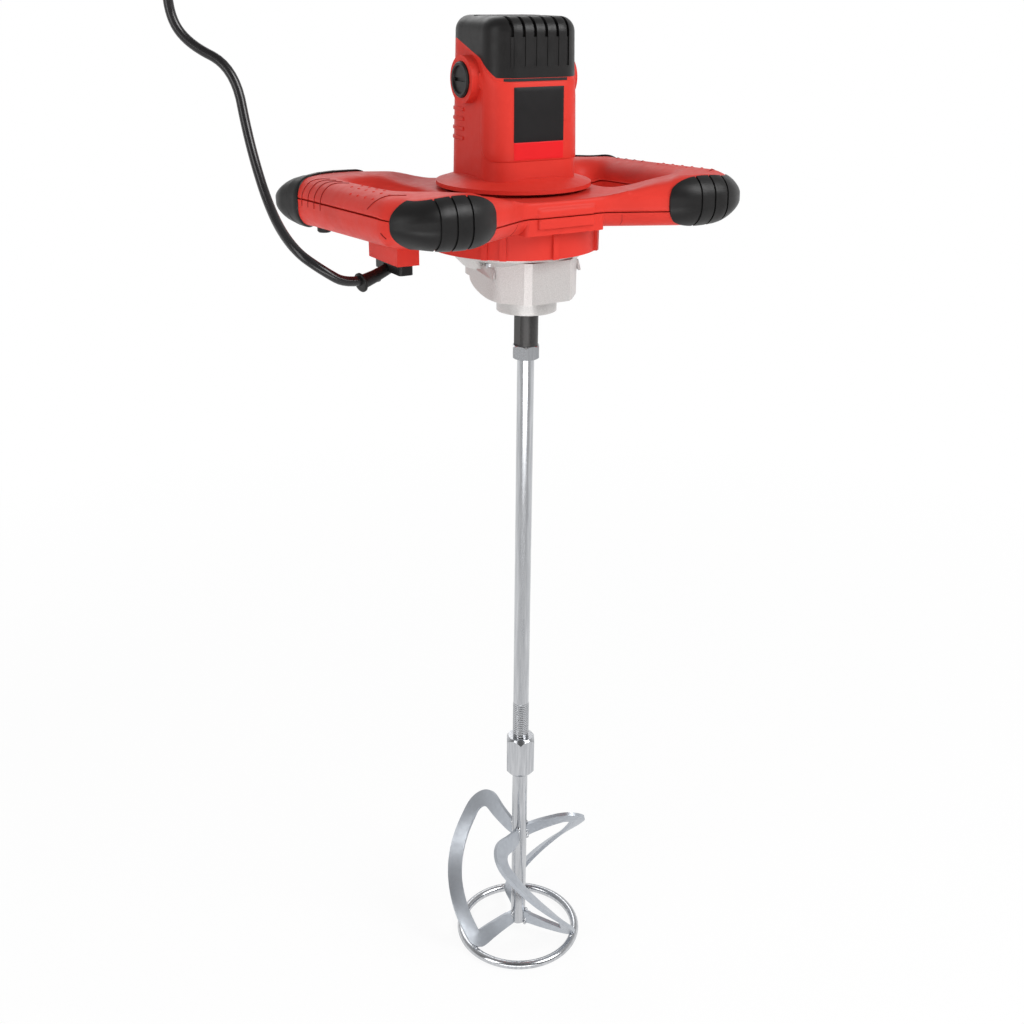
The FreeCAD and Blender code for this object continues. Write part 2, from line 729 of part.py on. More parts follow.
def make_spindle():
    seat = d.spindle_seat_dia / 2
    gear_seat = d.spindle_gear_bore / 2
    tip = d.spindle_tip_dia / 2
    outer = d.spindle_dia / 2
    shoulder = d.seal_height + d.seat_gap
    bearing_top = shoulder + d.spindle_bearing_width
    gear_top = d.spindle_gear_base + d.spindle_gear_width
    outline = [(0, d.stud_length - d.spindle_drop + 1), (d.stud_dia / 2 + d.running_gap, d.stud_length - d.spindle_drop),
               (d.stud_dia / 2 + d.running_gap, -d.spindle_drop), (outer, -d.spindle_drop), (outer, shoulder),
               (seat, shoulder), (seat, d.spindle_gear_base), (gear_seat, d.spindle_gear_base),
               (gear_seat, gear_top), (tip, gear_top), (tip, plate_top - d.bush_wall), (0, plate_top - d.bush_wall)]
    shaft = turned(outline)
    flat_height = d.spindle_drop - d.moving_gap * 4
    flats = []
    for side in (-1, 1):
        depth = d.spindle_dia
        x = d.spindle_flats / 2 if side > 0 else -d.spindle_flats / 2 - depth
        flats.append(box(depth, d.spindle_dia * 2, flat_height, x, -d.spindle_dia, -d.spindle_drop))
    node("spindle", cut(shaft, *flats))


def make_rod():
    nut_foot = -d.spindle_drop - d.lock_nut_height
    rods_meet = -d.coupling_drop - d.coupling_length / 2
    rod_foot = d.rod_foot_rise - d.ring_drop
    bore = rod_radius + d.running_gap
    nut = prism(d.lock_nut_height, hexagon(d.lock_nut_width), base=nut_foot)
    nut_chamfer = turned([(0, -d.spindle_drop), (d.lock_nut_width / 2, -d.spindle_drop),
                          (d.lock_nut_width * 0.6, -d.spindle_drop - d.lock_nut_height * 0.16),
                          (d.lock_nut_width * 0.6, nut_foot + d.lock_nut_height * 0.16),
                          (d.lock_nut_width / 2, nut_foot), (0, nut_foot)])
    node("lock_nut", cut(common(nut, nut_chamfer), cylinder(bore, d.lock_nut_height, z=nut_foot)))
    stud = d.stud_dia / 2
    bevel = d.running_gap * 20
    node("upper_rod", turned([(0, rods_meet), (rod_radius, rods_meet), (rod_radius, -d.spindle_drop),
                              (stud, -d.spindle_drop), (stud, d.stud_length - d.spindle_drop - bevel),
                              (0, d.stud_length - d.spindle_drop - bevel)]))
    foot = -d.coupling_drop - d.coupling_length
    block = prism(d.coupling_length, hexagon(d.coupling_width), base=foot)
    wide = d.coupling_width * 0.6
    narrow = d.coupling_width / 2 - d.coupling_bevel * 0.4
    bevelled = turned([(0, foot), (narrow, foot), (wide, foot + d.coupling_bevel * 1.6),
                       (wide, -d.coupling_drop - d.coupling_bevel * 1.6), (narrow, -d.coupling_drop),
                       (0, -d.coupling_drop)])
    node("rod_coupling", cut(common(block, bevelled), cylinder(bore, d.coupling_length, z=foot)))
    node("lower_rod", turned([(0, rod_foot), (rod_radius - bevel, rod_foot), (rod_radius, rod_foot + bevel),
                              (rod_radius, rods_meet), (0, rods_meet)]))


def blade_path():
    """Middle line of the flat blade strip as radius and height, before it is twisted.

    The outside of its lower bend rests on the ring's wire.
    """
    half_width = number(d.blade_width) / 2
    bend = number(d.blade_foot_bend)
    leg = number(d.ring_dia) / 2 - half_width
    apart = bend + half_width + number(d.ring_wire) / 2 + number(d.seat_gap)
    beside = number(ring_radius) - (leg - bend)
    low = math.sqrt(apart ** 2 - beside ** 2) - bend - number(d.ring_drop)
    lower_weld = low + number(d.blade_foot_rise)
    upper_weld = lower_weld + number(d.blade_weld_rise)
    crest = upper_weld + number(d.blade_crest)
    inner = number(rod_radius) - number(d.blade_thick)
    return [Vector(inner, 0, upper_weld), Vector(leg + number(d.blade_lean), 0, crest),
            Vector(leg, 0, low), Vector(inner, 0, lower_weld)]


def blade_stations():
    """Points and directions along the strip, closer together in its bends."""
    corners = blade_path()
    stations = []
    for i, bend in ((1, number(d.blade_bend)), (2, number(d.blade_foot_bend))):
        way_in = (corners[i] - corners[i - 1]).normalize()
        way_out = (corners[i + 1] - corners[i]).normalize()
        turn = way_in.getAngle(way_out)
        reach = bend * math.tan(turn / 2)
        centre = corners[i] - way_in * reach + Vector(-way_in.z, 0, way_in.x) * -bend
        for k in range(6):
            angle = -turn * k / 5
            spoke = Vector(-way_in.z, 0, way_in.x) * bend
            turned_spoke = Rotation(Vector(0, -1, 0), math.degrees(angle)).multVec(spoke)
            turned_way = Rotation(Vector(0, -1, 0), math.degrees(angle)).multVec(way_in)
            stations.append((centre + turned_spoke, turned_way))
    first_way = (corners[1] - corners[0]).normalize()
    last_way = (corners[3] - corners[2]).normalize()

    def between(start, end, way, count):
        return [(start + (end - start) * (k / count), way) for k in range(1, count)]
    arm = [(corners[0], first_way)] + between(corners[0], stations[0][0], first_way, 5)
    leg_way = (corners[2] - corners[1]).normalize()
    leg_steps = 7
    leg = between(stations[5][0], stations[6][0], leg_way, leg_steps)
    bow = number(d.blade_bow)
    leg = [(spot + Vector(bow * math.sin(math.pi * k / leg_steps), 0, 0), way)
           for k, (spot, way) in enumerate(leg, 1)]
    foot = between(stations[-1][0], corners[3], last_way, 5) + [(corners[3], last_way)]
    return arm + stations[:6] + leg + stations[6:] + foot


def make_paddle():
    """Ring and three flat strips, twisted round the rod so that they lift the mix."""
    hoop = doc.addObject("Part::Torus", "Torus")
    tie(hoop, Radius1=ring_radius, Radius2=d.ring_wire / 2)
    put(hoop, 0, 0, -d.ring_drop)
    node("mixing_ring", hoop)
    corners = blade_path()
    crest, low = corners[1].z, corners[2].z
    twist = math.radians(number(d.blade_twist)) / (crest - low)
    half_width = number(d.blade_width) / 2
    half_thick = number(d.blade_thick) / 2

    def twisted(point, side, start):
        angle = start + twist * (crest - point.z)
        out = Vector(math.cos(angle), math.sin(angle), 0)
        across = Vector(-math.sin(angle), math.cos(angle), point.x * twist)
        spot = out * point.x + Vector(0, 0, point.z)
        return spot + across.normalize() * half_thick * side

    def section(station, start):
        spot, way = station
        edge = Vector(way.z, 0, -way.x) * half_width
        ends = [(spot - edge, -1), (spot + edge, -1), (spot + edge, 1), (spot - edge, 1)]
        loop = [twisted(point, side, start) for point, side in ends]
        return Part.makePolygon(loop + loop[:1])
    stations = blade_stations()
    for blade in range(3):
        start = math.radians(number(d.blade_turn) + 120 * blade)
        strip = feature(Part.makeLoft([section(station, start) for station in stations], True, False))
        rod = cylinder(rod_radius + d.running_gap, d.ring_drop, z=-d.ring_drop)
        node("mixing_blade_%d" % (blade + 1), cut(strip, rod))


# Gearbox

def gearbox_outline():
    """Plan of the gearbox body: a flat front face with bevels, wide sides and a narrower back."""
    side = d.gearbox_half_width
    half = d.gearbox_front_width / 2
    bevel = d.gearbox_bevel
    front = d.gearbox_front
    right = [(half - bevel, -front), (half + bevel / 4, bevel - front), (side, -front / 3), (side, d.gearbox_rear / 2),
             (half, d.gearbox_rear)]
    return right + [(-x, y) for x, y in reversed(right)]


def gearbox_screw_places():
    x = d.flange_screw_aside
    y = d.flange_screw_apart / 2
    return [(x * side, d.flange_offset + y * end) for side in (-1, 1) for end in (-1, 1)]


def make_gearbox():
    """Cast housing: nose, rounded belly, straight body and a sloped flange."""
    rim_base = d.gearbox_height - d.flange_rim
    walls = prism(rim_base - d.nose_height, gearbox_outline(), base=d.nose_height)
    side = number(d.gearbox_half_width)
    back = number(d.gearbox_rear)
    round_edges(walls, d.gearbox_edge, lambda edge: upright(edge) and abs(abs(edge.BoundBox.XMin) - side) < 1e-3)
    round_edges(walls, d.gearbox_edge / 2, lambda edge: upright(edge) and abs(edge.BoundBox.YMin - back) < 1e-3)
    bowl = doc.addObject("Part::Ellipsoid", "Bowl")
    tie(bowl, Radius1=d.belly_depth, Radius2=d.belly_reach)
    put(bowl, 0, -d.belly_centre, d.gearbox_shoulder)
    far = d.flange_dia * 2
    above = box(far, far, far, -far / 2, -far / 2, d.gearbox_shoulder)
    body = common(walls, fuse(bowl, above))
    rim = cylinder(d.flange_dia / 2, d.flange_rim, 0, d.flange_offset, rim_base)
    slope = cone(d.flange_dia / 2 - d.flange_inset, d.flange_dia / 2, d.flange_slope, 0, d.flange_offset,
                 rim_base - d.flange_slope)
    nose = cylinder(d.nose_dia / 2, d.nose_height + d.gearbox_wall, 0, 0, 0)
    bush_seat = d.intermediate_dia / 2 + d.bush_wall + d.gearbox_wall
    bush_boss = cylinder(bush_seat, d.gearbox_shoulder - d.nose_height, mid_x, mid_y, d.nose_height + d.gearbox_wall / 2)
    case = fuse(body, rim, slope, nose, bush_boss)
    node("gearbox_housing", cut(case, *gearbox_hollows()))
    make_gearbox_screws()


def gearbox_hollows():
    """Bearing seats, gear rooms and screw pockets of the gearbox."""
    tip = 0.8
    spindle_room = (d.second_gear_teeth / 2 + tip) * d.second_module + d.moving_gap * 2
    wheel_room = (d.first_gear_teeth / 2 + tip) * d.first_module + d.moving_gap * 2
    seat = d.seal_height + d.seat_gap
    gear_floor = d.spindle_gear_base - d.gear_spacing
    bush_foot = d.spindle_gear_base - d.gear_spacing / 2 - d.bush_length
    bush = d.intermediate_dia / 2 + d.bush_wall + d.seat_gap
    pinion_room = (d.second_pinion_teeth / 2 + tip) * d.second_module + d.moving_gap * 2
    height = d.gearbox_height
    hollows = [
        cylinder(d.spindle_dia / 2 + d.moving_gap, seat),
        cylinder(d.spindle_bearing_dia / 2 - d.bush_wall, seat, z=d.seat_gap),
        cylinder(d.spindle_bearing_dia / 2 + d.running_gap, gear_floor - seat, z=seat),
        cylinder(spindle_room, height - gear_floor, z=gear_floor),
        cylinder(bush, height - bush_foot, mid_x, mid_y, bush_foot),
        cylinder(pinion_room, height - gear_floor, mid_x, mid_y, gear_floor),
        cylinder(wheel_room, height - first_gear_base + d.gear_spacing / 2, mid_x, mid_y,
                 first_gear_base - d.gear_spacing / 2),
        cylinder(pinion_room, height - first_gear_base + d.gear_spacing, 0, motor_y,
                 first_gear_base - d.gear_spacing),
    ]
    pocket = d.screw_head_dia / 2 + d.seat_gap * 4
    head_top = d.gearbox_height - d.flange_rim - d.flange_slope / 3
    for x, y in gearbox_screw_places():
        pocket_foot = d.gearbox_height - d.flange_rim - d.flange_slope * 1.4
        hollows.append(cylinder(pocket, head_top - pocket_foot, x, y, pocket_foot))
        hollows.append(cylinder(d.screw_dia / 2 + d.running_gap, height - head_top, x, y, head_top))
    return hollows


def screw(x, y, head_face, length, up=True):
    """A case screw with a sunk socket in its head, pointing up or down from the head's outer face."""
    head = d.screw_head_dia / 2
    height = d.screw_head_height * (1 if up else 0.5)
    shank = d.screw_dia / 2
    socket = d.screw_dia / 3
    outline = [(0, height / 2), (socket, height / 2), (socket, 0), (head, 0), (head, height), (shank, height),
               (shank, height + length), (0, height + length)]
    turn = None if up else Rotation(Vector(1, 0, 0), 180)
    return turned(outline, x, y, head_face, turn)


def make_gearbox_screws():
    head_top = d.gearbox_height - d.flange_rim - d.flange_slope / 3
    length = plate_top - head_top - d.plate_thick / 3
    screws = [screw(x, y, head_top - d.screw_head_height, length) for x, y in gearbox_screw_places()]
    group = doc.addObject("Part::Compound", "Screws")
    group.Links = screws
    node("gearbox_screws", group)


def make_plate():
    """Bearing plate between the gearbox and the motor."""
    disc = cylinder(d.well_dia / 2 - d.seat_gap, d.plate_thick, 0, motor_y, d.gearbox_height)
    trimmed = common(disc, cylinder(d.flange_dia / 2, d.plate_thick, 0, d.flange_offset, d.gearbox_height))
    bearing_seat = plate_top - d.ball_bearing_width
    top_seat = d.spindle_top_bearing_dia / 2 + d.running_gap
    hollows = [
        cylinder(d.ball_bearing_dia / 2 + d.running_gap, d.ball_bearing_width, 0, motor_y, bearing_seat),
        cylinder(d.shaft_dia / 2 + d.moving_gap, d.plate_thick, 0, motor_y, d.gearbox_height),
        cylinder(top_seat, d.spindle_top_bearing_width + d.seat_gap, 0, 0, d.gearbox_height),
        cylinder(d.intermediate_dia / 2 + d.bush_wall + d.seat_gap, d.bush_length, mid_x, mid_y, d.gearbox_height),
    ]
    for x, y in gearbox_screw_places():
        hollows.append(cylinder(d.screw_dia / 2 + d.running_gap, d.plate_thick * 0.8, x, y, d.gearbox_height))
    node("gearbox_plate", cut(trimmed, *hollows))
    node("spindle_bearing_upper", bearing(d.spindle_tip_dia, d.spindle_top_bearing_dia,
                                          d.spindle_top_bearing_width, 0, 0, d.gearbox_height))
    node("motor_bearing_lower", bearing(d.shaft_dia, d.ball_bearing_dia, d.ball_bearing_width, 0, motor_y,
                                        bearing_seat))


def make_spindle_seats():
    seat = d.seal_height + d.seat_gap
    node("spindle_bearing_lower", bearing(d.spindle_seat_dia, d.spindle_bearing_dia, d.spindle_bearing_width,
                                          0, 0, seat))
    node("spindle_seal", ring(d.spindle_bearing_dia / 2 - d.bush_wall - d.running_gap,
                              d.spindle_dia / 2 + d.running_gap, d.seal_height - d.seat_gap, 0, 0, d.seat_gap))


# Motor

def make_armature():
    """Shaft with its pinion, core, windings, commutator and fan, all turning together."""
    radius = d.shaft_dia / 2
    bearing_seat = plate_top - d.ball_bearing_width
    pinion_foot = first_gear_base - d.gear_spacing / 2
    pinion_top = first_gear_top + d.gear_spacing / 2
    top = d.bridge_base + d.bridge_height - d.bush_wall
    neck = (d.first_pinion_teeth / 2 - 1.05) * d.first_module
    shaft = turned([(0, pinion_foot), (neck, pinion_foot), (neck, pinion_top), (radius, bearing_seat - d.seat_gap),
                    (radius, top), (0, top)], 0, motor_y)
    teeth = number(d.first_pinion_teeth)
    pinion = toothed(number(d.first_module), teeth, pinion_top - pinion_foot, mesh_phase(to_motor + math.pi, teeth))
    put(pinion, 0, motor_y, pinion_foot)
    node("armature_shaft", fuse(shaft, pinion))
    bore = radius + d.running_gap
    core_radius = d.stator_bore / 2 - d.air_gap
    core = ring(core_radius, bore, d.stator_length, 0, motor_y, d.stator_base)
    slot_depth = core_radius * 0.42
    slots = []
    for i in range(int(number(d.core_slots))):
        slot = box(slot_depth * 2, d.core_slot, d.stator_length)
        slots.append(spoke(slot, core_radius - slot_depth, -d.core_slot / 2, d.stator_base,
                           360 * i / int(number(d.core_slots))))
    node("armature_core", cut(core, *slots))
    end_inner = bore + d.running_gap
    end_outer = core_radius * 0.79
    ends = []
    for base in (d.stator_base - d.winding_reach, stator_top):
        bulge = turned([(end_inner, 0), (end_outer * 0.8, 0), (end_outer, d.winding_reach * 0.3),
                        (end_outer, d.winding_reach * 0.7), (end_outer * 0.8, d.winding_reach),
                        (end_inner, d.winding_reach)], 0, motor_y, base)
        ends.append(bulge)
    group = doc.addObject("Part::Compound", "Windings")
    group.Links = ends
    node("armature_windings", group)
    base = d.brush_height - d.commutator_length / 2
    node("commutator", ring(d.commutator_dia / 2, bore, d.commutator_length, 0, motor_y, base))
    make_fan(bore)


def spoke(solid, reach, side, height, degrees):
    """Places a solid at a reach from the motor axis, turned about that axis."""
    turn = Rotation(Vector(0, 0, 1), degrees)
    offset = turn.multVec(Vector(number(reach), number(side), 0))
    solid.Placement = Placement(offset + Vector(0, number(motor_y), number(height)), turn)
    return solid


def make_fan(bore):
    disc_height = d.fan_height / 5
    hub = ring(d.shaft_dia, bore, d.fan_height, 0, motor_y, d.fan_base)
    disc = ring(d.fan_dia / 2, d.shaft_dia - d.running_gap, disc_height, 0, motor_y, d.fan_base)
    blades = []
    count = int(number(d.fan_blades))
    for i in range(count):
        blade = box(d.fan_dia / 2 - d.shaft_dia * 1.4, d.fan_height / 6, d.fan_height)
        blades.append(spoke(blade, d.shaft_dia * 1.3, -d.fan_height / 12, d.fan_base, 360 * i / count))
    node("cooling_fan", fuse(hub, disc, *blades))


def make_stator():
    half = d.stator_width / 2
    block = prism(d.stator_length, rectangle(half, half, motor_y), base=d.stator_base)
    round_edges(block, d.tower_corner - d.tower_wall, upright)
    bore = cylinder(d.stator_bore / 2, d.stator_length, 0, motor_y, d.stator_base)
    bar = d.coil_bar
    slot_x = d.stator_bore * 0.465
    slot_y = d.stator_bore * 0.365
    slots = []
    bars = []
    for side_x in (-1, 1):
        for side_y in (-1, 1):
            x = slot_x * side_x - bar / 2
            y = motor_y + slot_y * side_y - bar / 2
            slots.append(box(bar, bar, d.stator_length, x, y, d.stator_base))
            gap = d.running_gap
            bars.append(box(bar - gap * 2, bar - gap * 2, d.stator_length + bar * 2, x + gap, y + gap,
                            d.stator_base - bar))
    node("stator_core", cut(block, bore, *slots))
    for side_x in (-1, 1):
        x = slot_x * side_x - bar / 2 + d.running_gap
        y = motor_y - slot_y - bar / 2 + d.running_gap
        for base in (d.stator_base - bar, stator_top):
            bars.append(box(bar - d.running_gap * 2, slot_y * 2 + bar - d.running_gap * 2, bar, x, y, base))
    node("field_windings", fuse(*bars))


def make_bearing_bridge():
    width = tower_inner_half() - d.seat_gap
    bar = box(width * 2, d.bridge_depth, d.bridge_height, -width, motor_y - d.bridge_depth / 2, d.bridge_base)
    seat = cylinder(d.ball_bearing_dia / 2 + d.running_gap, d.ball_bearing_width, 0, motor_y, d.bridge_base)
    shaft = cylinder(d.shaft_dia / 2 + d.moving_gap, d.bridge_height, 0, motor_y, d.bridge_base)
    threads = [cylinder(d.screw_dia / 2 + d.running_gap, d.bridge_height, x, y, d.bridge_base)
               for x, y in cap_screw_places()]
    node("bearing_bridge", cut(bar, seat, shaft, *threads))
    node("motor_bearing_upper", bearing(d.shaft_dia, d.ball_bearing_dia, d.ball_bearing_width, 0, motor_y,
                                        d.bridge_base))


def tower_inner_half():
    """Half width of the motor housing's inside round the brushes."""
    return d.tower_width / 2 - d.tower_draft - d.tower_wall


def make_brushes():
    """Two brushes on the commutator with holders, springs and screw-in caps."""
    reach = d.commutator_dia / 2 + d.running_gap
    half_width = d.brush_width / 2
    half_depth = d.brush_depth / 2
    wall = d.brush_holder_wall
    gap = d.running_gap
    inner_end = d.commutator_dia / 2 + d.moving_gap * 4
    spring_foot = reach + d.brush_length
    cap_foot = d.brush_boss_reach + d.brush_cap_proud - d.brush_cap_depth
    groups = {"carbon_brushes": [], "brush_holders": [], "brush_springs": [], "brush_caps": []}
    for side in (-1, 1):
        x = reach if side > 0 else -reach - d.brush_length
        groups["carbon_brushes"].append(box(d.brush_length, d.brush_width, d.brush_depth, x, motor_y - half_width,
                                            d.brush_height - half_depth))
        length = d.brush_holder_reach - inner_end
        x = inner_end if side > 0 else -d.brush_holder_reach
        sleeve = box(length, d.brush_width + wall * 2, d.brush_depth + wall * 2, x, motor_y - half_width - wall,
                     d.brush_height - half_depth - wall)
        way = box(length, d.brush_width + gap * 2, d.brush_depth + gap * 2, x, motor_y - half_width - gap,
                  d.brush_height - half_depth - gap)
        groups["brush_holders"].append(cut(sleeve, way))
        turn = ALONG_X if side > 0 else ALONG_MINUS_X
        groups["brush_springs"].append(spring(cap_foot - spring_foot - gap * 2, d.brush_width / 2 - d.wire / 2 - gap,
                                              (spring_foot + gap) * side, motor_y, d.brush_height, turn))
        groups["brush_caps"].append(brush_cap(cap_foot * side, turn))
    for label, solids in groups.items():
        group = doc.addObject("Part::Compound", "Pair")
        group.Links = solids
        node(label, group)


def brush_cap(x, turn):
    """Screw cap with a slot for a driver in its sunk face."""
    radius = d.brush_cap_dia / 2 - d.seat_gap
    depth = d.brush_cap_depth
    disc = turned([(0, 0), (radius, 0), (radius, depth - 1), (radius - 1, depth), (radius * 0.78, depth),
                   (radius * 0.72, depth - 1.4), (0, depth - 1.4)], x, motor_y, d.brush_height, turn)
    slot = box(d.brush_cap_depth, d.brush_cap_dia * 0.62, d.vent_width)
    side = 1 if number(x) > 0 else -1
    low = x + depth - 2.8 if side > 0 else x - depth - d.brush_cap_depth + 2.8
    put(slot, low, motor_y - d.brush_cap_dia * 0.31, d.brush_height - d.vent_width / 2)
    return cut(disc, slot)


# Motor housing and cap

def tower_form(inset):
    """Outside of the motor housing and its cap in one piece, drawn in on every side."""
    half_width = d.tower_width / 2 - inset
    half_depth = d.tower_depth / 2 - inset
    top = d.tower_top - inset
    height = top - plate_top
    body = prism(height, rectangle(half_width, half_depth, motor_y), base=plate_top)
    body.Tip.setExpression("TaperAngle", "-1 * atan(%s)" % (d.tower_draft / height).formula)
    round_edges(body, d.tower_corner - inset, upright)
    return round_edges(body, d.cap_rounding - inset, level_at(top))


def tower_rooms():
    """Fan room, stator seat and brush room, one above the other."""
    stator_half = d.stator_width / 2 + d.seat_gap
    brush_base = stator_top + d.coil_bar * 2
    seat = prism(brush_base - d.stator_base, rectangle(stator_half, stator_half, motor_y), base=d.stator_base)
    round_edges(seat, d.tower_corner - d.tower_wall, upright)
    fan_room = cylinder(d.fan_dia / 2 + d.moving_gap * 3, d.stator_base - plate_top, 0, motor_y, plate_top)
    half = tower_inner_half()
    depth = half - (d.tower_width - d.tower_depth) / 2
    top = prism(d.tower_top - d.tower_wall - brush_base, rectangle(half, depth, motor_y), base=brush_base)
    round_edges(top, d.tower_corner - d.tower_wall, upright)
    coil_x = d.stator_bore * 0.465 + d.coil_bar / 2 + d.seat_gap
    coil_y = d.stator_bore * 0.365 + d.coil_bar / 2 + d.seat_gap
    coil_room = prism(d.coil_bar * 1.2, rectangle(coil_x, coil_y, motor_y), base=d.stator_base - d.coil_bar * 1.2)
    return fuse(seat, fan_room, top, coil_room)


def cap_side():
    """Everything above the cap's lower edge, which climbs from the front to the back."""
    front = motor_y - d.tower_depth / 2
    far = d.tower_depth * 2
    high = d.tower_top * 2
    outline = [(motor_y - far, d.cap_front_edge), (front + d.tower_wall * 2, d.cap_front_edge + d.vent_width),
               (front + d.tower_corner * 1.2, d.cap_front_edge + (d.cap_side_edge - d.cap_front_edge) * 0.55),
               (motor_y + d.tower_corner, d.cap_side_edge), (motor_y + far, d.cap_side_edge),
               (motor_y + far, high), (motor_y - far, high)]
    return prism(d.tower_width * 2, outline, base=-d.tower_width, role="YZ_Plane")


def make_tower():
    form = tower_form(0)
    rooms = tower_rooms()
    shell = cut(form, rooms)
    above = cap_side()
    skirt_radius = d.skirt_dia / 2
    foot = d.skirt_foot
    skirt = turned([(0, foot), (skirt_radius, foot), (skirt_radius, foot + d.skirt_edge),
                    (d.tower_width / 2, foot + d.skirt_height), (0, foot + d.skirt_height)], 0, motor_y)
    bosses = [cylinder(d.brush_boss_dia / 2, d.brush_boss_reach - tower_inner_half() + d.tower_wall / 2,
                       (tower_inner_half() - d.tower_wall / 2) * side, motor_y, d.brush_height,
                       ALONG_X if side > 0 else ALONG_MINUS_X) for side in (-1, 1)]
    solid = cut(fuse(cut(shell, above), skirt, *bosses), rooms_again(rooms), *brush_bores())
    node("motor_housing", solid)
    cap = common(shell, above)
    node("top_cap", cut(cap, *bosses_clearance(), *cap_vents(), *cap_screw_holes()))
    make_cap_screws()


def rooms_again(rooms):
    """The rooms cut once more where the skirt and bosses crossed them."""
    copy = doc.addObject("Part::MultiFuse", "Rooms")
    copy.Shapes = rooms.Shapes
    return copy


def bosses_clearance():
    reach = d.brush_boss_reach * 2
    return [cylinder(d.brush_boss_dia / 2 + d.seat_gap, reach * 2, -reach, motor_y, d.brush_height, ALONG_X)]


def brush_bores():
    """Cap seat and holder passage through both brush bosses."""
    reach = d.brush_boss_reach
    seat = reach + d.brush_cap_proud - d.brush_cap_depth
    half_width = d.brush_width / 2 + d.brush_holder_wall + d.seat_gap
    half_depth = d.brush_depth / 2 + d.brush_holder_wall + d.seat_gap
    bores = [box(seat * 2, half_width * 2, half_depth * 2, -seat, motor_y - half_width, d.brush_height - half_depth)]
    for side in (-1, 1):
        turn = ALONG_X if side > 0 else ALONG_MINUS_X
        bores.append(cylinder(d.brush_cap_dia / 2, d.brush_cap_depth, seat * side, motor_y, d.brush_height, turn))
    return bores


def cap_vents():
    """Six grooves over the cap's top and down its front, and a slot under its front edge."""
    skin = tower_form(d.vent_depth)
    groove_top = d.tower_top - d.cap_front_edge
    front = motor_y - d.tower_depth
    slabs = []
    for i in range(6):
        x = d.vent_pitch * (i - 2.5) - d.vent_width / 2
        slabs.append(box(d.vent_width, d.tower_depth * 1.2, groove_top, x, front,
                         d.cap_front_edge + d.vent_width * 4))
    slot = box(d.vent_pitch * 6, d.tower_wall * 3, d.vent_width * 0.8, d.vent_pitch * -3,
               motor_y - d.tower_depth / 2 - d.tower_wall, d.cap_front_edge)
    return [cut(fuse(*slabs), skin), slot]


def cap_screw_places():
    reach = d.tower_width / 2 - d.tower_draft - d.tower_corner * 0.62
    return [(-reach, motor_y + d.bridge_depth / 4), (reach, motor_y + d.bridge_depth / 4)]


def cap_screw_holes():
    """Sunk holes in the cap's roof."""
    holes = []
    seat = d.tower_top - d.screw_head_height * 0.75 - d.running_gap
    for x, y in cap_screw_places():
        holes.append(cylinder(d.screw_dia / 2 + d.seat_gap, d.tower_wall * 2, x, y, d.tower_top - d.tower_wall * 2))
        holes.append(cylinder(d.screw_head_dia / 2 + d.seat_gap, d.tower_wall, x, y, seat))
    return holes


def make_cap_screws():
    """Screws through the cap's roof into the bearing bridge."""
    face = d.tower_top - d.screw_head_height / 4
    length = face - d.screw_head_height / 2 - d.bridge_base - d.bridge_height / 2
    screws = [screw(x, y, face, length, up=False) for x, y in cap_screw_places()]
    group = doc.addObject("Part::Compound", "CapScrews")
    group.Links = screws
    node("cap_screws", group)


# Handles

def handle_outline(grow):
    """Plan of both handles and the centre part, grown on every side."""
    out = d.grip_reach + grow
    end = d.loop_reach + grow
    arm = [(d.panel_half_width, d.panel_reach + grow), (d.arm_bend, end)]
    front = arm + [(out, end)]
    back = arm + [(out + d.horn_flare, end + d.horn_reach), (out, d.horn_start)]
    front_right = [(x, handle_y - y) for x, y in front]
    back_right = [(x, handle_y + y) for x, y in reversed(back)]
    back_left = [(-x, handle_y + y) for x, y in back]
    front_left = [(-x, handle_y - y) for x, y in reversed(front)]
    return front_right + back_right + back_left + front_left


def loop_outline(side):
    """Finger gap between a grip and the centre part."""
    root = d.loop_root
    inside = grip_inside
    half = d.loop_reach - d.arm_thick
    return [(root * side, handle_y - d.loop_root_half), (inside * side, handle_y - half),
            (inside * side, handle_y + half), (root * side, handle_y + d.loop_root_half)]


def handle_form(grow, with_loops):
    """The handles as one solid with well rounded edges."""
    outlines = [handle_outline(grow)]
    if with_loops:
        outlines += [loop_outline(-1), loop_outline(1)]
    base = d.handle_base - grow
    height = d.handle_height + grow * 2
    body = prism(height, *outlines, base=base)
    out = number(d.grip_reach + grow)
    end = number(d.loop_reach + grow)

    def at(x, y):
        def chosen(edge):
            middle = edge.BoundBox.Center
            same_x = abs(abs(middle.x) - number(x)) < 1e-3
            return upright(edge) and same_x and abs(abs(middle.y - number(handle_y)) - number(y)) < 1e-3
        return chosen
    round_edges(body, d.handle_corner + grow, at(out, end))
    round_edges(body, d.horn_corner + grow, at(d.grip_reach + grow + d.horn_flare, d.loop_reach + grow + d.horn_reach))
    round_edges(body, d.horn_bend, at(out, d.horn_start))
    round_edges(body, d.arm_corner + grow, at(d.arm_bend, end))
    round_edges(body, d.loop_corner, at(d.panel_half_width, d.panel_reach + grow))
    if with_loops:
        round_edges(body, d.loop_corner, at(grip_inside, d.loop_reach - d.arm_thick))
        round_edges(body, d.loop_corner, at(d.loop_root, d.loop_root_half))
    low, high = level_at(base), level_at(base + height)
    round_edges(body, d.handle_edge + grow, lambda edge: low(edge) or high(edge))
    return put(body, turn=handle_turn)


def seam_side(drop):
    """Everything below the seam, which runs low at the centre and high on the grips."""
    far = d.grip_reach * 2
    centre = d.seam_centre - drop
    grip = d.seam_grip - drop
    outline = [(-far, 0), (far, 0), (far, grip), (d.seam_high_reach, grip), (d.seam_low_reach, centre),
               (-d.seam_low_reach, centre), (-d.seam_high_reach, grip), (-far, grip)]
    return put(prism(far * 2, outline, base=-far, role="XZ_Plane"), turn=handle_turn)


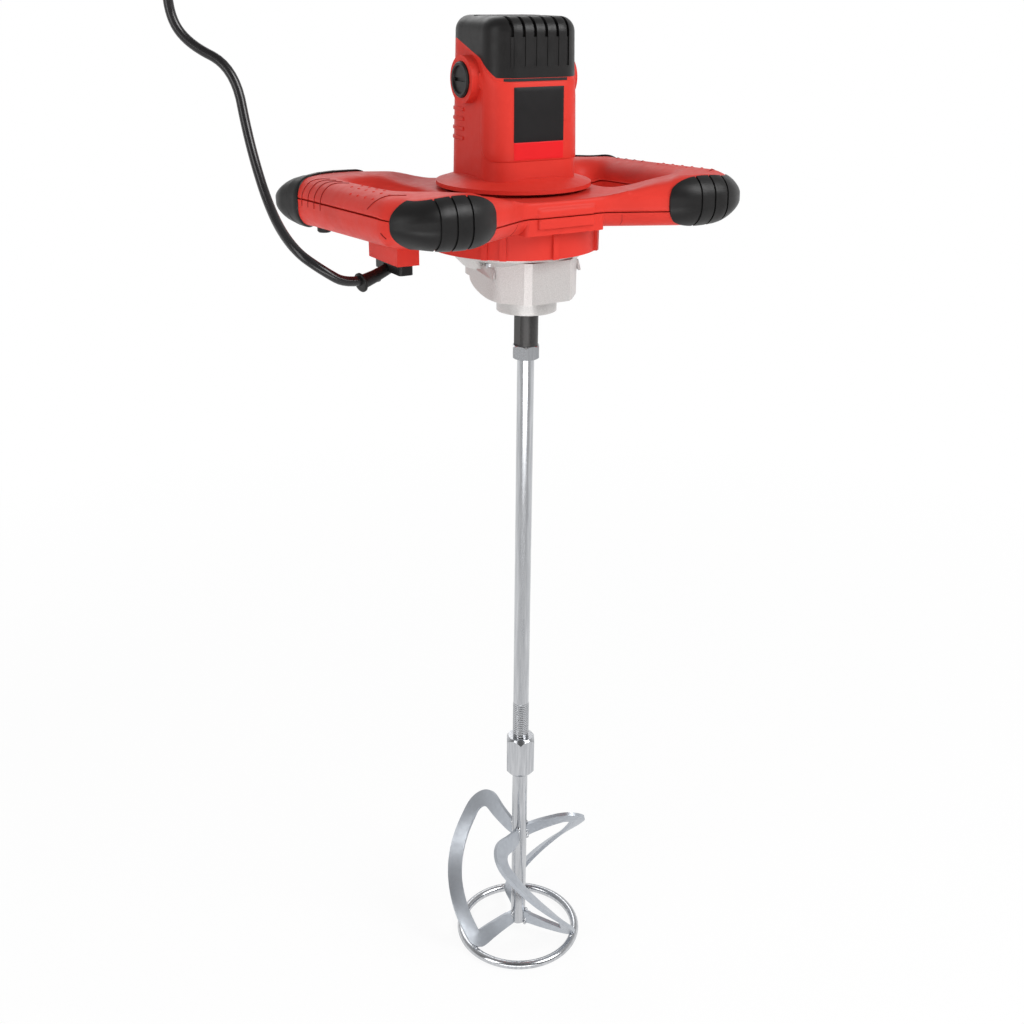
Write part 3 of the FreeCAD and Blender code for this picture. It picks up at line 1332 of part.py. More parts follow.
def front_panel():
    """Front panel of the centre part with a raised field and soft upright edges."""
    half = d.panel_half_width
    front = motor_y - d.panel_reach
    back = front + d.panel_reach / 3
    foot = d.handle_base + d.panel_raise
    panel = prism(d.dish_height - foot, [(-half, front), (half, front), (half, back), (-half, back)], base=foot)
    round_edges(panel, d.panel_raise * 2, upright)
    field = half - d.panel_border
    raised = prism(d.dish_height - foot - d.panel_border, [
        (-field, front - d.panel_raise), (field, front - d.panel_raise), (field, back), (-field, back)],
        base=foot + d.panel_border / 2)
    round_edges(raised, d.panel_raise, upright)
    return fuse(panel, raised)


def dish_outline():
    """Half section of the room over the centre part, with a soft rise towards the arms."""
    steps = 6
    width = (d.dish_rim_dia - d.dish_dia) / 2
    rise = handle_top - d.dish_height
    outline = [(0, d.dish_height)]
    for i in range(steps + 1):
        share = i / steps
        outline.append((d.dish_dia / 2 + width * share,
                        d.dish_height + rise * ((1 - math.cos(math.pi * share)) / 2)))
    return outline + [(d.dish_rim_dia / 2, handle_top * 2), (0, handle_top * 2)]


def make_handles():
    """Two moulded shells with the finger gaps, the ring round the gearbox and the cord block."""
    form = handle_form(0, True)
    dish = turned(dish_outline(), 0, motor_y)
    well = cylinder(d.well_dia / 2, handle_top, 0, motor_y, d.gearbox_height)
    collar = cylinder(d.collar_dia / 2, d.handle_base + d.handle_edge - d.gearbox_height, 0, motor_y,
                      d.gearbox_height)
    ribs = [spoke(box(d.collar_rib, d.collar_rib, d.handle_base - d.gearbox_height),
                  d.collar_dia / 2 - d.collar_rib * 0.6, -d.collar_rib / 2, d.gearbox_height, angle)
            for angle in (-139, -127, -93, -50, 50, 75, 105, 130)]
    block = box(d.block_width, d.block_length, d.handle_base + d.handle_edge - d.block_foot,
                -block_inner - d.block_width, motor_y - d.block_front, d.block_foot)
    solid = fuse(form, front_panel(), collar, block, *ribs)
    body = cut(solid, dish, well, *grip_rooms(), *handle_screw_holes())
    node("upper_handle_shell", cut(body, seam_side(0)))
    node("lower_handle_shell", common(body, seam_side(d.seam_gap)))
    make_handle_screws()
    make_bumpers(form)


def handle_screw_places():
    x = d.arm_bend
    y = d.loop_reach - d.arm_thick
    return [(x * side, handle_y + y * end) for side in (-1, 1) for end in (-1, 1)]


def underside(y):
    """Height of the handles' underside, which falls towards the back."""
    return d.handle_base - d.handle_fall * y


def handle_screw_holes():
    holes = []
    for x, y in handle_screw_places():
        foot = underside(y)
        holes.append(cylinder(d.screw_head_dia / 2 + d.seat_gap, d.screw_head_height * 3, x, y,
                              foot - d.screw_head_height))
        holes.append(cylinder(d.screw_dia / 2 + d.running_gap, d.seam_centre - d.handle_base + d.screw_head_height,
                              x, y, foot))
    return holes


def make_handle_screws():
    """Screws from below that hold the two shells together."""
    length = d.seam_centre - d.handle_base - d.screw_head_height * 1.1
    screws = [screw(x, y, underside(y) + d.screw_head_height, length) for x, y in handle_screw_places()]
    group = doc.addObject("Part::Compound", "HandleScrews")
    group.Links = screws
    node("handle_screws", group)


def grip_rooms():
    """Rooms in the left grip for switch, trigger, dial and lock button."""
    gap = d.moving_gap
    x = -d.grip_reach
    trigger_y = motor_y + d.trigger_shift
    middle = d.handle_base + d.handle_height / 2
    switch_inner = grip_inside + d.trigger_depth + d.trigger_travel + gap
    trigger_room = box(switch_inner - grip_inside + d.trigger_proud, d.trigger_length + gap * 2,
                       d.trigger_height + gap * 2, -switch_inner, trigger_y - d.trigger_length / 2 - gap,
                       middle - d.trigger_height / 2 - gap)
    switch_room = box(d.switch_thick + d.seat_gap, d.switch_length + d.seat_gap * 2, d.switch_height + d.seat_gap * 2,
                      -switch_inner - d.switch_thick - d.seat_gap, trigger_y - d.switch_length / 2 - d.seat_gap,
                      middle - d.switch_height / 2 - d.seat_gap)
    dial_x = -grip_inside - d.dial_dia / 2 + d.dial_proud
    dial_room = cylinder(d.dial_dia / 2 + gap, d.dial_height + gap * 2, dial_x, motor_y - d.dial_shift,
                         middle - d.dial_height / 2 - gap)
    button_x = x + d.grip_thick / 2
    button_y = motor_y + d.button_shift
    button_room = cylinder(d.button_dia / 2 + gap, d.button_depth * 2 + d.button_travel + gap, button_x, button_y,
                           underside(button_y) - d.button_depth)
    return [trigger_room, switch_room, dial_room, button_room]


def make_bumpers(form):
    """Grooved rubber pads round the four outer corners."""
    outer = handle_form(d.bumper_proud, False)
    under_groove = handle_form(d.bumper_proud - d.bumper_groove_depth, False)
    for name, end in (("front", -1), ("rear", 1)):
        pad = bumper(end, form, outer, under_groove)
        node(name + "_right_bumper", pad)
        node(name + "_left_bumper", mirrored(pad, Vector(1, 0, 0)))


def bumper(end, form, outer, under_groove):
    """The right pad at the front or back end: a window of the grown handle with a rounded inner end."""
    reach = d.grip_reach * 1.2
    high = handle_top + d.bumper_proud
    low = d.handle_base - d.bumper_proud
    side = d.bumper_front - handle_y if end < 0 else -handle_y - d.bumper_back
    first = side if end < 0 else side - d.loop_reach
    window = prism(d.loop_reach, [(d.bumper_inner, low), (reach, low), (reach, high), (d.bumper_inner, high)],
                   base=first, role="XZ_Plane")
    inner = number(d.bumper_inner)
    round_edges(window, d.bumper_end_radius,
                lambda edge: edge.BoundBox.XLength < 1e-6 and edge.BoundBox.ZLength < 1e-6
                and abs(edge.BoundBox.XMin - inner) < 1e-3)
    put(window, turn=handle_turn)
    core = prism(high * 2, shrunk_plan(), base=0)
    round_edges(core, d.handle_corner - d.bumper_wrap, upright)
    slabs = []
    for i in range(3):
        x = d.bumper_groove_start + d.bumper_groove_pitch * i - d.bumper_groove / 2
        slabs.append(box(d.bumper_groove, d.loop_reach, high * 2, x, handle_y + d.loop_reach * (1.3 * end - 0.5), 0))
    return cut(common(outer, window), form, core, cut(fuse(*slabs), under_groove))


def shrunk_plan():
    """Plan inside the bumpers' reach over the handle's top and underside."""
    wrap = d.bumper_wrap
    return rectangle(d.grip_reach - wrap, d.loop_reach - wrap, handle_y)


def make_switch():
    """Switch, spring-loaded trigger, lock button and speed dial in the left grip."""
    trigger_y = motor_y + d.trigger_shift
    middle = d.handle_base + d.handle_height / 2
    inner = -grip_inside
    trigger_back = inner - d.trigger_depth
    trigger = box(d.trigger_depth + d.trigger_proud, d.trigger_length, d.trigger_height, trigger_back,
                  trigger_y - d.trigger_length / 2, middle - d.trigger_height / 2)
    rounded = doc.addObject("Part::Fillet", "TriggerEdges")
    rounded.Base = trigger
    doc.recompute()
    front = number(inner + d.trigger_proud)
    edges = [i + 1 for i, edge in enumerate(trigger.Shape.Edges) if abs(edge.BoundBox.XMin - front) < 1e-3]
    rounding = number(d.trigger_proud) * 0.45
    rounded.Edges = [(i, rounding, rounding) for i in edges]
    node("trigger", rounded)
    switch_x = trigger_back - d.trigger_travel - d.moving_gap - d.switch_thick
    node("switch_module", box(d.switch_thick, d.switch_length, d.switch_height, switch_x,
                              trigger_y - d.switch_length / 2, middle - d.switch_height / 2))
    node("trigger_spring", spring(d.trigger_travel + d.moving_gap - d.running_gap * 2, d.trigger_height / 4,
                                  trigger_back - d.running_gap, trigger_y, middle, ALONG_MINUS_X))
    button_x = -d.grip_reach + d.grip_thick / 2
    radius = d.button_dia / 2
    node("lock_button", turned([(0, -d.button_proud), (radius - 1, -d.button_proud), (radius, 1 - d.button_proud),
                                (radius, d.button_depth), (0, d.button_depth)], button_x, motor_y + d.button_shift,
                               underside(motor_y + d.button_shift)))
    dial_x = inner - d.dial_dia / 2 + d.dial_proud
    wheel = cylinder(d.dial_dia / 2, d.dial_height, dial_x, motor_y - d.dial_shift, middle - d.dial_height / 2)
    notches = []
    for i in range(24):
        angle = 2 * math.pi * i / 24
        notches.append(cylinder(d.dial_height / 10, d.dial_height, dial_x + d.dial_dia / 2 * math.cos(angle),
                                motor_y - d.dial_shift + d.dial_dia / 2 * math.sin(angle),
                                middle - d.dial_height / 2))
    node("speed_dial", cut(wheel, *notches))


# Cord, strain relief, coil and plug

def sleeve_way():
    slope = math.radians(number(d.sleeve_slope))
    yaw = math.radians(number(d.sleeve_yaw))
    return Vector(-math.cos(slope) * math.cos(yaw), -math.cos(slope) * math.sin(yaw), -math.sin(slope))


def sleeve_start():
    clamp_side = number(block_inner + d.block_width - d.clamp_inset)
    height = number(d.block_foot) - number(d.clamp_thick) * 0.95
    return Vector(-clamp_side, number(motor_y - d.sleeve_exit), height)


def make_cord_exit():
    """Clamp plate under the cord block and the flared rubber sleeve that leaves it."""
    inset = d.clamp_inset
    plate = prism(d.clamp_thick, [
        (-block_inner - d.block_width + inset, motor_y - d.block_front + inset),
        (-block_inner - inset, motor_y - d.block_front + inset),
        (-block_inner - inset, motor_y - d.block_front + d.block_length - inset),
        (-block_inner - d.block_width + inset, motor_y - d.block_front + d.block_length - inset)],
        base=d.block_foot - d.clamp_thick)
    round_edges(plate, d.clamp_inset * 0.8, upright)
    start = sleeve_start()
    turn = Rotation(Vector(0, 0, 1), sleeve_way())
    length = d.sleeve_length
    flange = d.sleeve_flange_dia / 2
    root = d.sleeve_dia / 2
    neck = d.cord_dia / 2 + d.running_gap
    sleeve = turned([(neck, -d.clamp_inset), (root, -d.clamp_inset), (root, 0),
                     (d.sleeve_end_dia / 2, length - d.sleeve_flange), (flange, length - d.sleeve_flange),
                     (flange, length), (neck, length)], start.x, start.y, start.z, turn)
    back = start - sleeve_way() * number(d.clamp_inset)
    socket = cylinder(root + d.running_gap, d.clamp_inset * 4, back.x, back.y, back.z, turn)
    node("cord_clamp", cut(plate, socket))
    node("strain_relief", sleeve)


def make_cord():
    """The free run of the cord: straight runs with an arc at each point of its route."""
    diameter = number(d.cord_dia)
    start = sleeve_start() - sleeve_way() * number(d.clamp_inset)
    leave = sleeve_start() + sleeve_way() * (number(d.sleeve_length) + 1.1 * diameter)
    path, radii = rounded_path([start, leave] + list(CORD_ROUTE))
    solid = tube(path, diameter, start, sleeve_way())
    length = sum(edge.Length for edge in path)
    expected = math.pi * diameter ** 2 / 4 * length
    print("cord run %.0f mm, bend radii %s" % (length, [round(r, 1) for r in radii]))
    print("cord volume %.1f mm3, section times length %.1f mm3" % (solid.Volume, expected))
    node("power_cord", feature(solid))
    make_coil(CORD_ROUTE[-1], (CORD_ROUTE[-1] - CORD_ROUTE[-2]).normalize())


def make_coil(start, up):
    """The put-away length: a spiral inwards, a climb in half a turn and a spiral out again."""
    diameter = number(d.cord_dia)
    pitch = number(d.coil_pitch)
    outer = number(d.coil_radius)
    turns = int(number(d.coil_layer_turns))
    across = Vector(0.857, -0.515, 0)
    across = (across - up * across.dot(up)).normalize()
    through = up.cross(across)
    entry = start + up * diameter
    centre = entry + across * outer
    inwards = turns - 0.25

    def place(turn):
        wound = turns - math.hypot(turn - turns, 0.1)
        radius = outer - pitch * wound
        climb = min(1, max(0, (turn - inwards) / 0.5))
        height = pitch * climb * climb * (3 - 2 * climb)
        angle = 2 * math.pi * turn
        return centre - across * (radius * math.cos(angle)) + up * (radius * math.sin(angle)) - through * height
    solid = winding(place, 2 * turns, diameter, diameter, number(d.coil_tail))
    print("coil length %.0f mm" % (solid.Volume / (math.pi * diameter ** 2 / 4)))
    print("coil least gap to itself %.2f mm" % least_gap(place, 2 * turns, diameter))
    node("cord_coil", feature(solid))
    tail_end = place(2 * turns) + up * number(d.coil_tail)
    frame = Rotation(across, through, up, "ZXY")
    make_tie(centre, frame, pitch, outer, turns)
    make_plug(tail_end, frame)


def make_tie(centre, frame, pitch, outer, turns):
    """Strap round all turns of the coil on the side towards the drill."""
    half = number(d.cord_dia) / 2
    gap = number(d.moving_gap)
    low = outer - pitch * (turns - 0.25) - half - gap
    high = outer + half + gap
    thick = number(d.tie_thick)
    width = number(d.tie_width)
    inside = Part.makeBox(high - low, pitch + 2 * (half + gap), width, Vector(low, -pitch - half - gap, -width / 2))
    outside = Part.makeBox(high - low + 2 * thick, pitch + 2 * (half + gap + thick), width,
                           Vector(low - thick, -pitch - half - gap - thick, -width / 2))
    upright_edges = [edge for edge in outside.Edges if upright(edge)]
    strap = feature(outside.makeFillet(thick * 2, upright_edges).cut(inside))
    strap.Placement = Placement(centre, frame)
    node("cord_tie", strap)


def make_plug(spot, frame):
    """Two-blade mains plug on the end of the coil."""
    length = number(d.plug_length)
    width = number(d.plug_width)
    thick = number(d.plug_thick)
    neck = number(d.cord_dia) * 0.8

    def section(height, half_x, half_y):
        return Part.makePolygon([Vector(half_x, -half_y, height), Vector(half_x, half_y, height),
                                 Vector(-half_x, half_y, height), Vector(-half_x, -half_y, height),
                                 Vector(half_x, -half_y, height)])
    grip = Part.makeLoft([section(0, neck, neck), section(length * 0.3, neck, neck * 1.2),
                          section(length * 0.65, thick / 2, width / 2), section(length, thick / 2, width / 2)],
                         True, True)
    long_edges = [edge for edge in grip.Edges if upright(edge) or abs(edge.Length) > length * 0.3]
    body = feature(grip.makeFillet(1.5, [e for e in long_edges if e.BoundBox.ZLength > 1]))
    body.Placement = Placement(spot, frame)
    node("plug_body", body)
    blades = []
    for side in (-1, 1):
        middle = number(d.plug_blade_pitch) / 2 * side
        corner = Vector(-number(d.plug_blade_width) / 2, middle - number(d.plug_blade_thick) / 2, length)
        blades.append(Part.makeBox(number(d.plug_blade_width), number(d.plug_blade_thick),
                                   number(d.plug_blade_length), corner))
    pair = feature(Part.makeCompound(blades))
    pair.Placement = Placement(spot, frame)
    node("plug_blades", pair)


def check_and_write():
    """Refuses a failed object, then writes each sub-part to its own file."""
    doc.recompute()
    for thing in doc.Objects:
        if "Invalid" in thing.State or "Error" in thing.State:
            raise RuntimeError("failed: %s %s" % (thing.Label, thing.State))
    for thing in nodes:
        if thing.Shape.isNull() or not thing.Shape.isValid():
            raise RuntimeError("bad shape: %s" % thing.Label)
    os.makedirs("parts", exist_ok=True)
    for thing in nodes:
        thing.Shape.exportStep("parts/%s.step" % thing.Label)
    print("%d sub-parts, %d solids" % (len(nodes), sum(len(thing.Shape.Solids) for thing in nodes)))


make_gearbox()
make_plate()
make_spindle_seats()
make_spindle()
make_spindle_gear()
make_intermediate()
make_armature()
make_stator()
make_bearing_bridge()
make_tower()
make_brushes()
make_handles()
make_switch()
make_rod()
make_paddle()
make_cord_exit()
make_cord()
check_and_write()
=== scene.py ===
"""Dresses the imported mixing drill: materials, soft shells, moulded details, cord, light and camera."""

import bmesh
import bpy
import math
import numpy
from mathutils import Matrix, Vector, noise as texture
from mathutils.bvhtree import BVHTree


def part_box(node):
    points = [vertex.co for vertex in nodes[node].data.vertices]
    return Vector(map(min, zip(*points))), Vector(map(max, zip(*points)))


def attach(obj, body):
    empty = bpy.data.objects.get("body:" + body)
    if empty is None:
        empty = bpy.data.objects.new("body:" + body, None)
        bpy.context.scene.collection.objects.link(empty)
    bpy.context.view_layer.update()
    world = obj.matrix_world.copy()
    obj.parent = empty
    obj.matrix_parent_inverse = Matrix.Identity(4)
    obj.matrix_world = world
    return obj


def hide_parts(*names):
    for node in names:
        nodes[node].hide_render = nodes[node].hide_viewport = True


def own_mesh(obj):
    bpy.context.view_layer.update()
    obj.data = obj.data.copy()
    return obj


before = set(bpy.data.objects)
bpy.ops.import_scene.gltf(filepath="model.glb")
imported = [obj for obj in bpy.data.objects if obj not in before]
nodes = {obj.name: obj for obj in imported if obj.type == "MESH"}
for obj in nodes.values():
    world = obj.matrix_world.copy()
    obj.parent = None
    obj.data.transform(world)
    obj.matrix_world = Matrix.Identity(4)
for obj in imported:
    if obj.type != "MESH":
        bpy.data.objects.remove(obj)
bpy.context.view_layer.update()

MM = 0.001
MOTOR_Y = 22 * MM
HOUSING = "housing"
DRIVE = "drive_line"
SIDES = ((-1, "left"), (1, "right"))
BUMPERS = ("front_right_bumper", "front_left_bumper", "rear_right_bumper", "rear_left_bumper")
BLADES = ("mixing_blade_1", "mixing_blade_2", "mixing_blade_3")


# Materials

NOISE_ROUGHNESS = 0.55
DRIFT_SCALE = 28.0
DRIFT_DETAIL = 4.0
GLOSS_SCALE = 160.0
GLOSS_BELOW = 0.05
GLOSS_ABOVE = 0.06
MOULD_DETAIL = 2.0
MOULD_DEPTH = 0.00012
METAL_DETAIL = 4.0
WAVE_TURN = 6.283
SHEET_METALLIC = 0.7
SHEET_ROUGHNESS = 0.5
SHEET_STRENGTH = 0.3
SHEET_DEPTH = 0.0001


def new_material(name):
    material = bpy.data.materials.new(name)
    material.use_nodes = True
    tree = material.node_tree
    return material, tree, tree.nodes["Principled BSDF"]


def add(tree, kind, **values):
    """Adds a shader node and sets its inputs or settings by name."""
    node = tree.nodes.new(kind)
    for key, value in values.items():
        if key in node.inputs:
            node.inputs[key].default_value = value
        else:
            setattr(node, key, value)
    return node


def combined(tree, operation, first, second):
    """Result of a sum on two outputs."""
    node = add(tree, "ShaderNodeMath", operation=operation)
    tree.links.new(first, node.inputs[0])
    tree.links.new(second, node.inputs[1])
    return node.outputs[0]


def place_coordinates(tree, stretch=(1, 1, 1)):
    """Coordinates in metres, optionally stretched along an axis."""
    where = add(tree, "ShaderNodeTexCoord")
    mapping = add(tree, "ShaderNodeMapping", Scale=stretch)
    tree.links.new(where.outputs["Object"], mapping.inputs["Vector"])
    return mapping.outputs["Vector"]


def noise(tree, vector, scale, detail=3.0):
    node = add(tree, "ShaderNodeTexNoise", Scale=scale, Detail=detail, Roughness=NOISE_ROUGHNESS)
    tree.links.new(vector, node.inputs["Vector"])
    return node.outputs["Fac"]


def spread(tree, value, low, high, from_low=0.3, from_high=0.7, kind="LINEAR"):
    """Maps a value, by default a noise, to a range."""
    node = add(tree, "ShaderNodeMapRange", interpolation_type=kind)
    node.inputs["From Min"].default_value = from_low
    node.inputs["From Max"].default_value = from_high
    node.inputs["To Min"].default_value = low
    node.inputs["To Max"].default_value = high
    tree.links.new(value, node.inputs["Value"])
    return node.outputs["Result"]


def mixed(tree, factor, first, second):
    """Blend of two colours."""
    node = add(tree, "ShaderNodeMix", data_type="RGBA")
    tree.links.new(factor, node.inputs["Factor"])
    node.inputs["A"].default_value = (*first, 1)
    node.inputs["B"].default_value = (*second, 1)
    return node.outputs["Result"]


def bumped(tree, shader, height, strength, distance):
    node = add(tree, "ShaderNodeBump", Strength=strength, Distance=distance)
    tree.links.new(height, node.inputs["Height"])
    tree.links.new(node.outputs["Normal"], shader.inputs["Normal"])


def moulded(name, colour, shade, roughness, grain=2400.0, strength=0.25, specular=0.5):
    """Moulded plastic or rubber: fine eroded grain, slow colour drift and uneven gloss."""
    material, tree, shader = new_material(name)
    vector = place_coordinates(tree)
    drift = spread(tree, noise(tree, vector, DRIFT_SCALE, DRIFT_DETAIL), 0.0, 1.0)
    tree.links.new(mixed(tree, drift, colour, shade), shader.inputs["Base Color"])
    gloss = spread(tree, noise(tree, vector, GLOSS_SCALE), roughness - GLOSS_BELOW, roughness + GLOSS_ABOVE)
    tree.links.new(gloss, shader.inputs["Roughness"])
    shader.inputs["Specular IOR Level"].default_value = specular
    bumped(tree, shader, noise(tree, vector, grain, MOULD_DETAIL), strength, MOULD_DEPTH)
    return material


def metal(name, colour, shade, roughness, stretch=(1, 1, 1), scale=300.0, metallic=1.0, strength=0.12,
          depth=0.00008, variation=0.08):
    """Metal with drawn or cast grain along the stretch direction."""
    material, tree, shader = new_material(name)
    vector = place_coordinates(tree, stretch)
    grain = noise(tree, vector, scale, METAL_DETAIL)
    tree.links.new(mixed(tree, spread(tree, grain, 0.0, 1.0), colour, shade), shader.inputs["Base Color"])
    shader.inputs["Metallic"].default_value = metallic
    gloss = spread(tree, grain, roughness - variation, roughness + variation)
    tree.links.new(gloss, shader.inputs["Roughness"])
    bumped(tree, shader, grain, strength, depth)
    return material


def layered(name, colour, gap, pitch):
    """Stacked steel sheet: fine dark lines across the height."""
    material, tree, shader = new_material(name)
    vector = place_coordinates(tree)
    wave = add(tree, "ShaderNodeTexWave", bands_direction="Z", Scale=1 / pitch / WAVE_TURN)
    tree.links.new(vector, wave.inputs["Vector"])
    tree.links.new(mixed(tree, wave.outputs["Fac"], gap, colour), shader.inputs["Base Color"])
    shader.inputs["Metallic"].default_value = SHEET_METALLIC
    shader.inputs["Roughness"].default_value = SHEET_ROUGHNESS
    bumped(tree, shader, wave.outputs["Fac"], SHEET_STRENGTH, SHEET_DEPTH)
    return material


RED = moulded("red_moulded", (0.63, 0.038, 0.026), (0.58, 0.033, 0.022), 0.45, specular=0.15)
# Painted shade: a dark red that stands for the shadow in the grips' engraved lines and slots
GROOVE_SHADE_RED = moulded("red_groove_shade", (0.26, 0.012, 0.009), (0.2, 0.01, 0.008), 0.6, grain=1200.0,
                     specular=0.2)
LABEL_RED = moulded("red_printed", (0.70, 0.012, 0.016), (0.66, 0.011, 0.014), 0.35, grain=1200.0,
                    strength=0.05, specular=0.2)
BLACK = moulded("black_moulded", (0.0065, 0.006, 0.006), (0.009, 0.0085, 0.0085), 0.4, specular=0.28)
LABEL_BLACK = moulded("black_printed", (0.009, 0.0085, 0.009), (0.012, 0.0115, 0.012), 0.4, grain=1200.0,
                      strength=0.05, specular=0.2)
# Painted shade: near-black for the shadow in the slot under the cap's front edge
DARK = moulded("slot_painted_shade", (0.006, 0.006, 0.006), (0.008, 0.008, 0.008), 0.7)
RUBBER = moulded("black_rubber", (0.0065, 0.006, 0.006), (0.009, 0.0085, 0.0085), 0.4, grain=1900.0,
                 strength=0.3, specular=0.28)
CORD = moulded("cord_jacket", (0.010, 0.009, 0.010), (0.013, 0.012, 0.013), 0.24, grain=900.0, strength=0.1)
ALLOY = metal("cast_alloy", (0.58, 0.56, 0.55), (0.46, 0.44, 0.43), 0.36, scale=1200.0, metallic=0.35,
              strength=0.25, depth=0.0001)
ZINC = metal("zinc_plated", (0.60, 0.61, 0.63), (0.44, 0.45, 0.47), 0.2, stretch=(1, 1, 0.06), scale=500.0)
ZINC_DARK = metal("zinc_worn", (0.42, 0.43, 0.45), (0.26, 0.27, 0.28), 0.34, scale=700.0)
BLADE = metal("zinc_blade", (0.50, 0.53, 0.57), (0.45, 0.475, 0.515), 0.42, scale=220.0, variation=0.03,
              strength=0.06)
BLACK_STEEL = metal("black_oxide", (0.035, 0.033, 0.033), (0.05, 0.048, 0.047), 0.36, scale=500.0,
                    metallic=0.5)
STEEL = metal("ground_steel", (0.6, 0.6, 0.62), (0.5, 0.5, 0.52), 0.3, stretch=(1, 1, 0.1), scale=900.0)
COPPER = metal("lacquered_copper", (0.62, 0.28, 0.12), (0.48, 0.2, 0.08), 0.32, stretch=(1, 1, 6),
               scale=260.0)
BRASS = metal("drawn_brass", (0.72, 0.55, 0.24), (0.62, 0.46, 0.19), 0.3, scale=420.0)
CORE = layered("core_sheet", (0.32, 0.32, 0.34), (0.12, 0.12, 0.13), 0.0006)
CARBON = moulded("pressed_carbon", (0.03, 0.03, 0.03), (0.045, 0.045, 0.045), 0.6, grain=3000.0,
                 strength=0.4)

NODE_MATERIALS = {
    RED: ("motor_housing", "upper_handle_shell", "lower_handle_shell"),
    BLACK: ("top_cap", "brush_caps", "cooling_fan", "bearing_bridge", "trigger", "lock_button", "speed_dial",
            "switch_module", "cord_clamp", "cord_tie"),
    RUBBER: BUMPERS + ("strain_relief", "spindle_seal", "plug_body"),
    CORD: ("power_cord", "cord_coil"),
    ALLOY: ("gearbox_housing", "gearbox_plate"),
    ZINC: ("lock_nut", "upper_rod", "rod_coupling", "lower_rod", "mixing_ring"),
    BLADE: BLADES,
    BLACK_STEEL: ("spindle", "handle_screws", "cap_screws"),
    STEEL: ("gearbox_screws", "spindle_bearing_lower", "spindle_bearing_upper", "spindle_gear",
            "intermediate_shaft", "intermediate_gear", "armature_shaft", "motor_bearing_lower",
            "motor_bearing_upper", "brush_springs", "trigger_spring"),
    COPPER: ("armature_windings", "commutator", "field_windings"),
    BRASS: ("intermediate_bush_lower", "intermediate_bush_upper", "brush_holders", "plug_blades"),
    CORE: ("armature_core", "stator_core"),
    CARBON: ("carbon_brushes",),
}
for material, names in NODE_MATERIALS.items():
    for name in names:
        mesh = nodes[name].data
        mesh.materials.clear()
        mesh.materials.append(material)


# Mesh helpers

CORNER_STEPS = 6
PLATE_FOOT = -0.0003
PLATE_SHARES = (0.2, 0.45, 0.7, 0.9, 0.985)
BEVEL_SHOULDER = 0.3
LEAST_CORNER = 0.01
DRAPE_STEPS = 8


def piece(name, data, material, body):
    """Adds a mesh or a curve as a named piece that rides on a body."""
    obj = bpy.data.objects.new(name, data)
    bpy.context.scene.collection.objects.link(obj)
    data.materials.append(material)
    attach(obj, body)
    return obj


def from_bmesh(bm, name, smooth=False):
    mesh = bpy.data.meshes.new(name)
    bmesh.ops.recalc_face_normals(bm, faces=bm.faces)
    if smooth:
        for face in bm.faces:
            face.smooth = True
    bm.to_mesh(mesh)
    bm.free()
    return mesh


def join_rings(bm, rings):
    """Faces between closed rings of points, each joined to the next."""
    for first, second in zip(rings, rings[1:]):
        for i in range(len(first)):
            j = (i + 1) % len(first)
            bm.faces.new((first[i], first[j], second[j], second[i]))


def surface(*objects):
    """Search tree over the faces of CAD nodes or pieces."""
    bm = bmesh.new()
    for obj in objects:
        bm.from_mesh(obj.data)
    tree = BVHTree.FromBMesh(bm)
    bm.free()
    return tree


def mirrored(side, points):
    """Points given in millimetres on the right side, for either side."""
    return [Vector((side * x, y, z)) * MM for x, y, z in points]


def rounded_outline(half_u, half_v, corners, edge_steps):
    """Points round a rectangle with four corner radii, from the lower right corner anticlockwise."""
    arcs = []
    for index, (side_u, side_v) in enumerate(((1, -1), (1, 1), (-1, 1), (-1, -1))):
        radius = corners[index]
        middle = Vector((side_u * (half_u - radius), side_v * (half_v - radius)))
        angles = [math.pi / 2 * (index - 1 + step / CORNER_STEPS) for step in range(CORNER_STEPS + 1)]
        arcs.append([middle + Vector((math.cos(angle), math.sin(angle))) * radius for angle in angles])
    points = []
    for index, arc in enumerate(arcs):
        points += arc
        following = arcs[(index + 1) % 4][0]
        points += [arc[-1].lerp(following, step / edge_steps) for step in range(1, edge_steps)]
    return points


def plate(name, tree, place, half_u, half_v, corners, proud, bevel, material, edge_steps=10):
    """A thin raised plate that follows a surface; place turns flat coordinates into a point near it."""
    smallest = min(half_u, half_v)
    shoulder = bevel * BEVEL_SHOULDER
    levels = [(0, PLATE_FOOT), (0, proud - bevel), (shoulder, proud - shoulder), (bevel, proud)]
    levels += [(bevel + (smallest - bevel) * share, proud) for share in PLATE_SHARES]
    bm = bmesh.new()
    rings = []
    for inset, height in levels:
        radii = [max(radius - inset, smallest * LEAST_CORNER) for radius in corners]
        flat = rounded_outline(half_u - inset, half_v - inset, radii, edge_steps)
        ring = []
        for point in flat:
            spot, normal, _, _ = tree.find_nearest(place(point.x, point.y))
            ring.append(bm.verts.new(spot + normal * height))
        rings.append(ring)
    join_rings(bm, rings)
    bm.faces.new(rings[-1])
    return piece(name, from_bmesh(bm, name, smooth=True), material, HOUSING)


def strand(name, points, radius):
    """A thin bead along points of the handle, dark red as painted shade of an engraved line."""
    data = bpy.data.curves.new(name, "CURVE")
    data.dimensions = "3D"
    data.bevel_depth = radius
    data.bevel_resolution = 2
    data.use_fill_caps = True
    spline = data.splines.new("POLY")
    spline.points.add(len(points) - 1)
    for control, point in zip(spline.points, points):
        control.co = (*point, 1)
    return piece(name, data, GROOVE_SHADE_RED, HOUSING)


def draped(tree, places, lift=0.0):
    """Points of a line through the given places, laid on a surface."""
    points = []
    for first, second in zip(places, places[1:]):
        for step in range(DRAPE_STEPS):
            spot, normal, _, _ = tree.find_nearest(Vector(first).lerp(Vector(second), step / DRAPE_STEPS))
            points.append(spot + normal * lift)
    spot, normal, _, _ = tree.find_nearest(Vector(places[-1]))
    points.append(spot + normal * lift)
    return points


# Camera, fitted to the rod, the ring and the grips

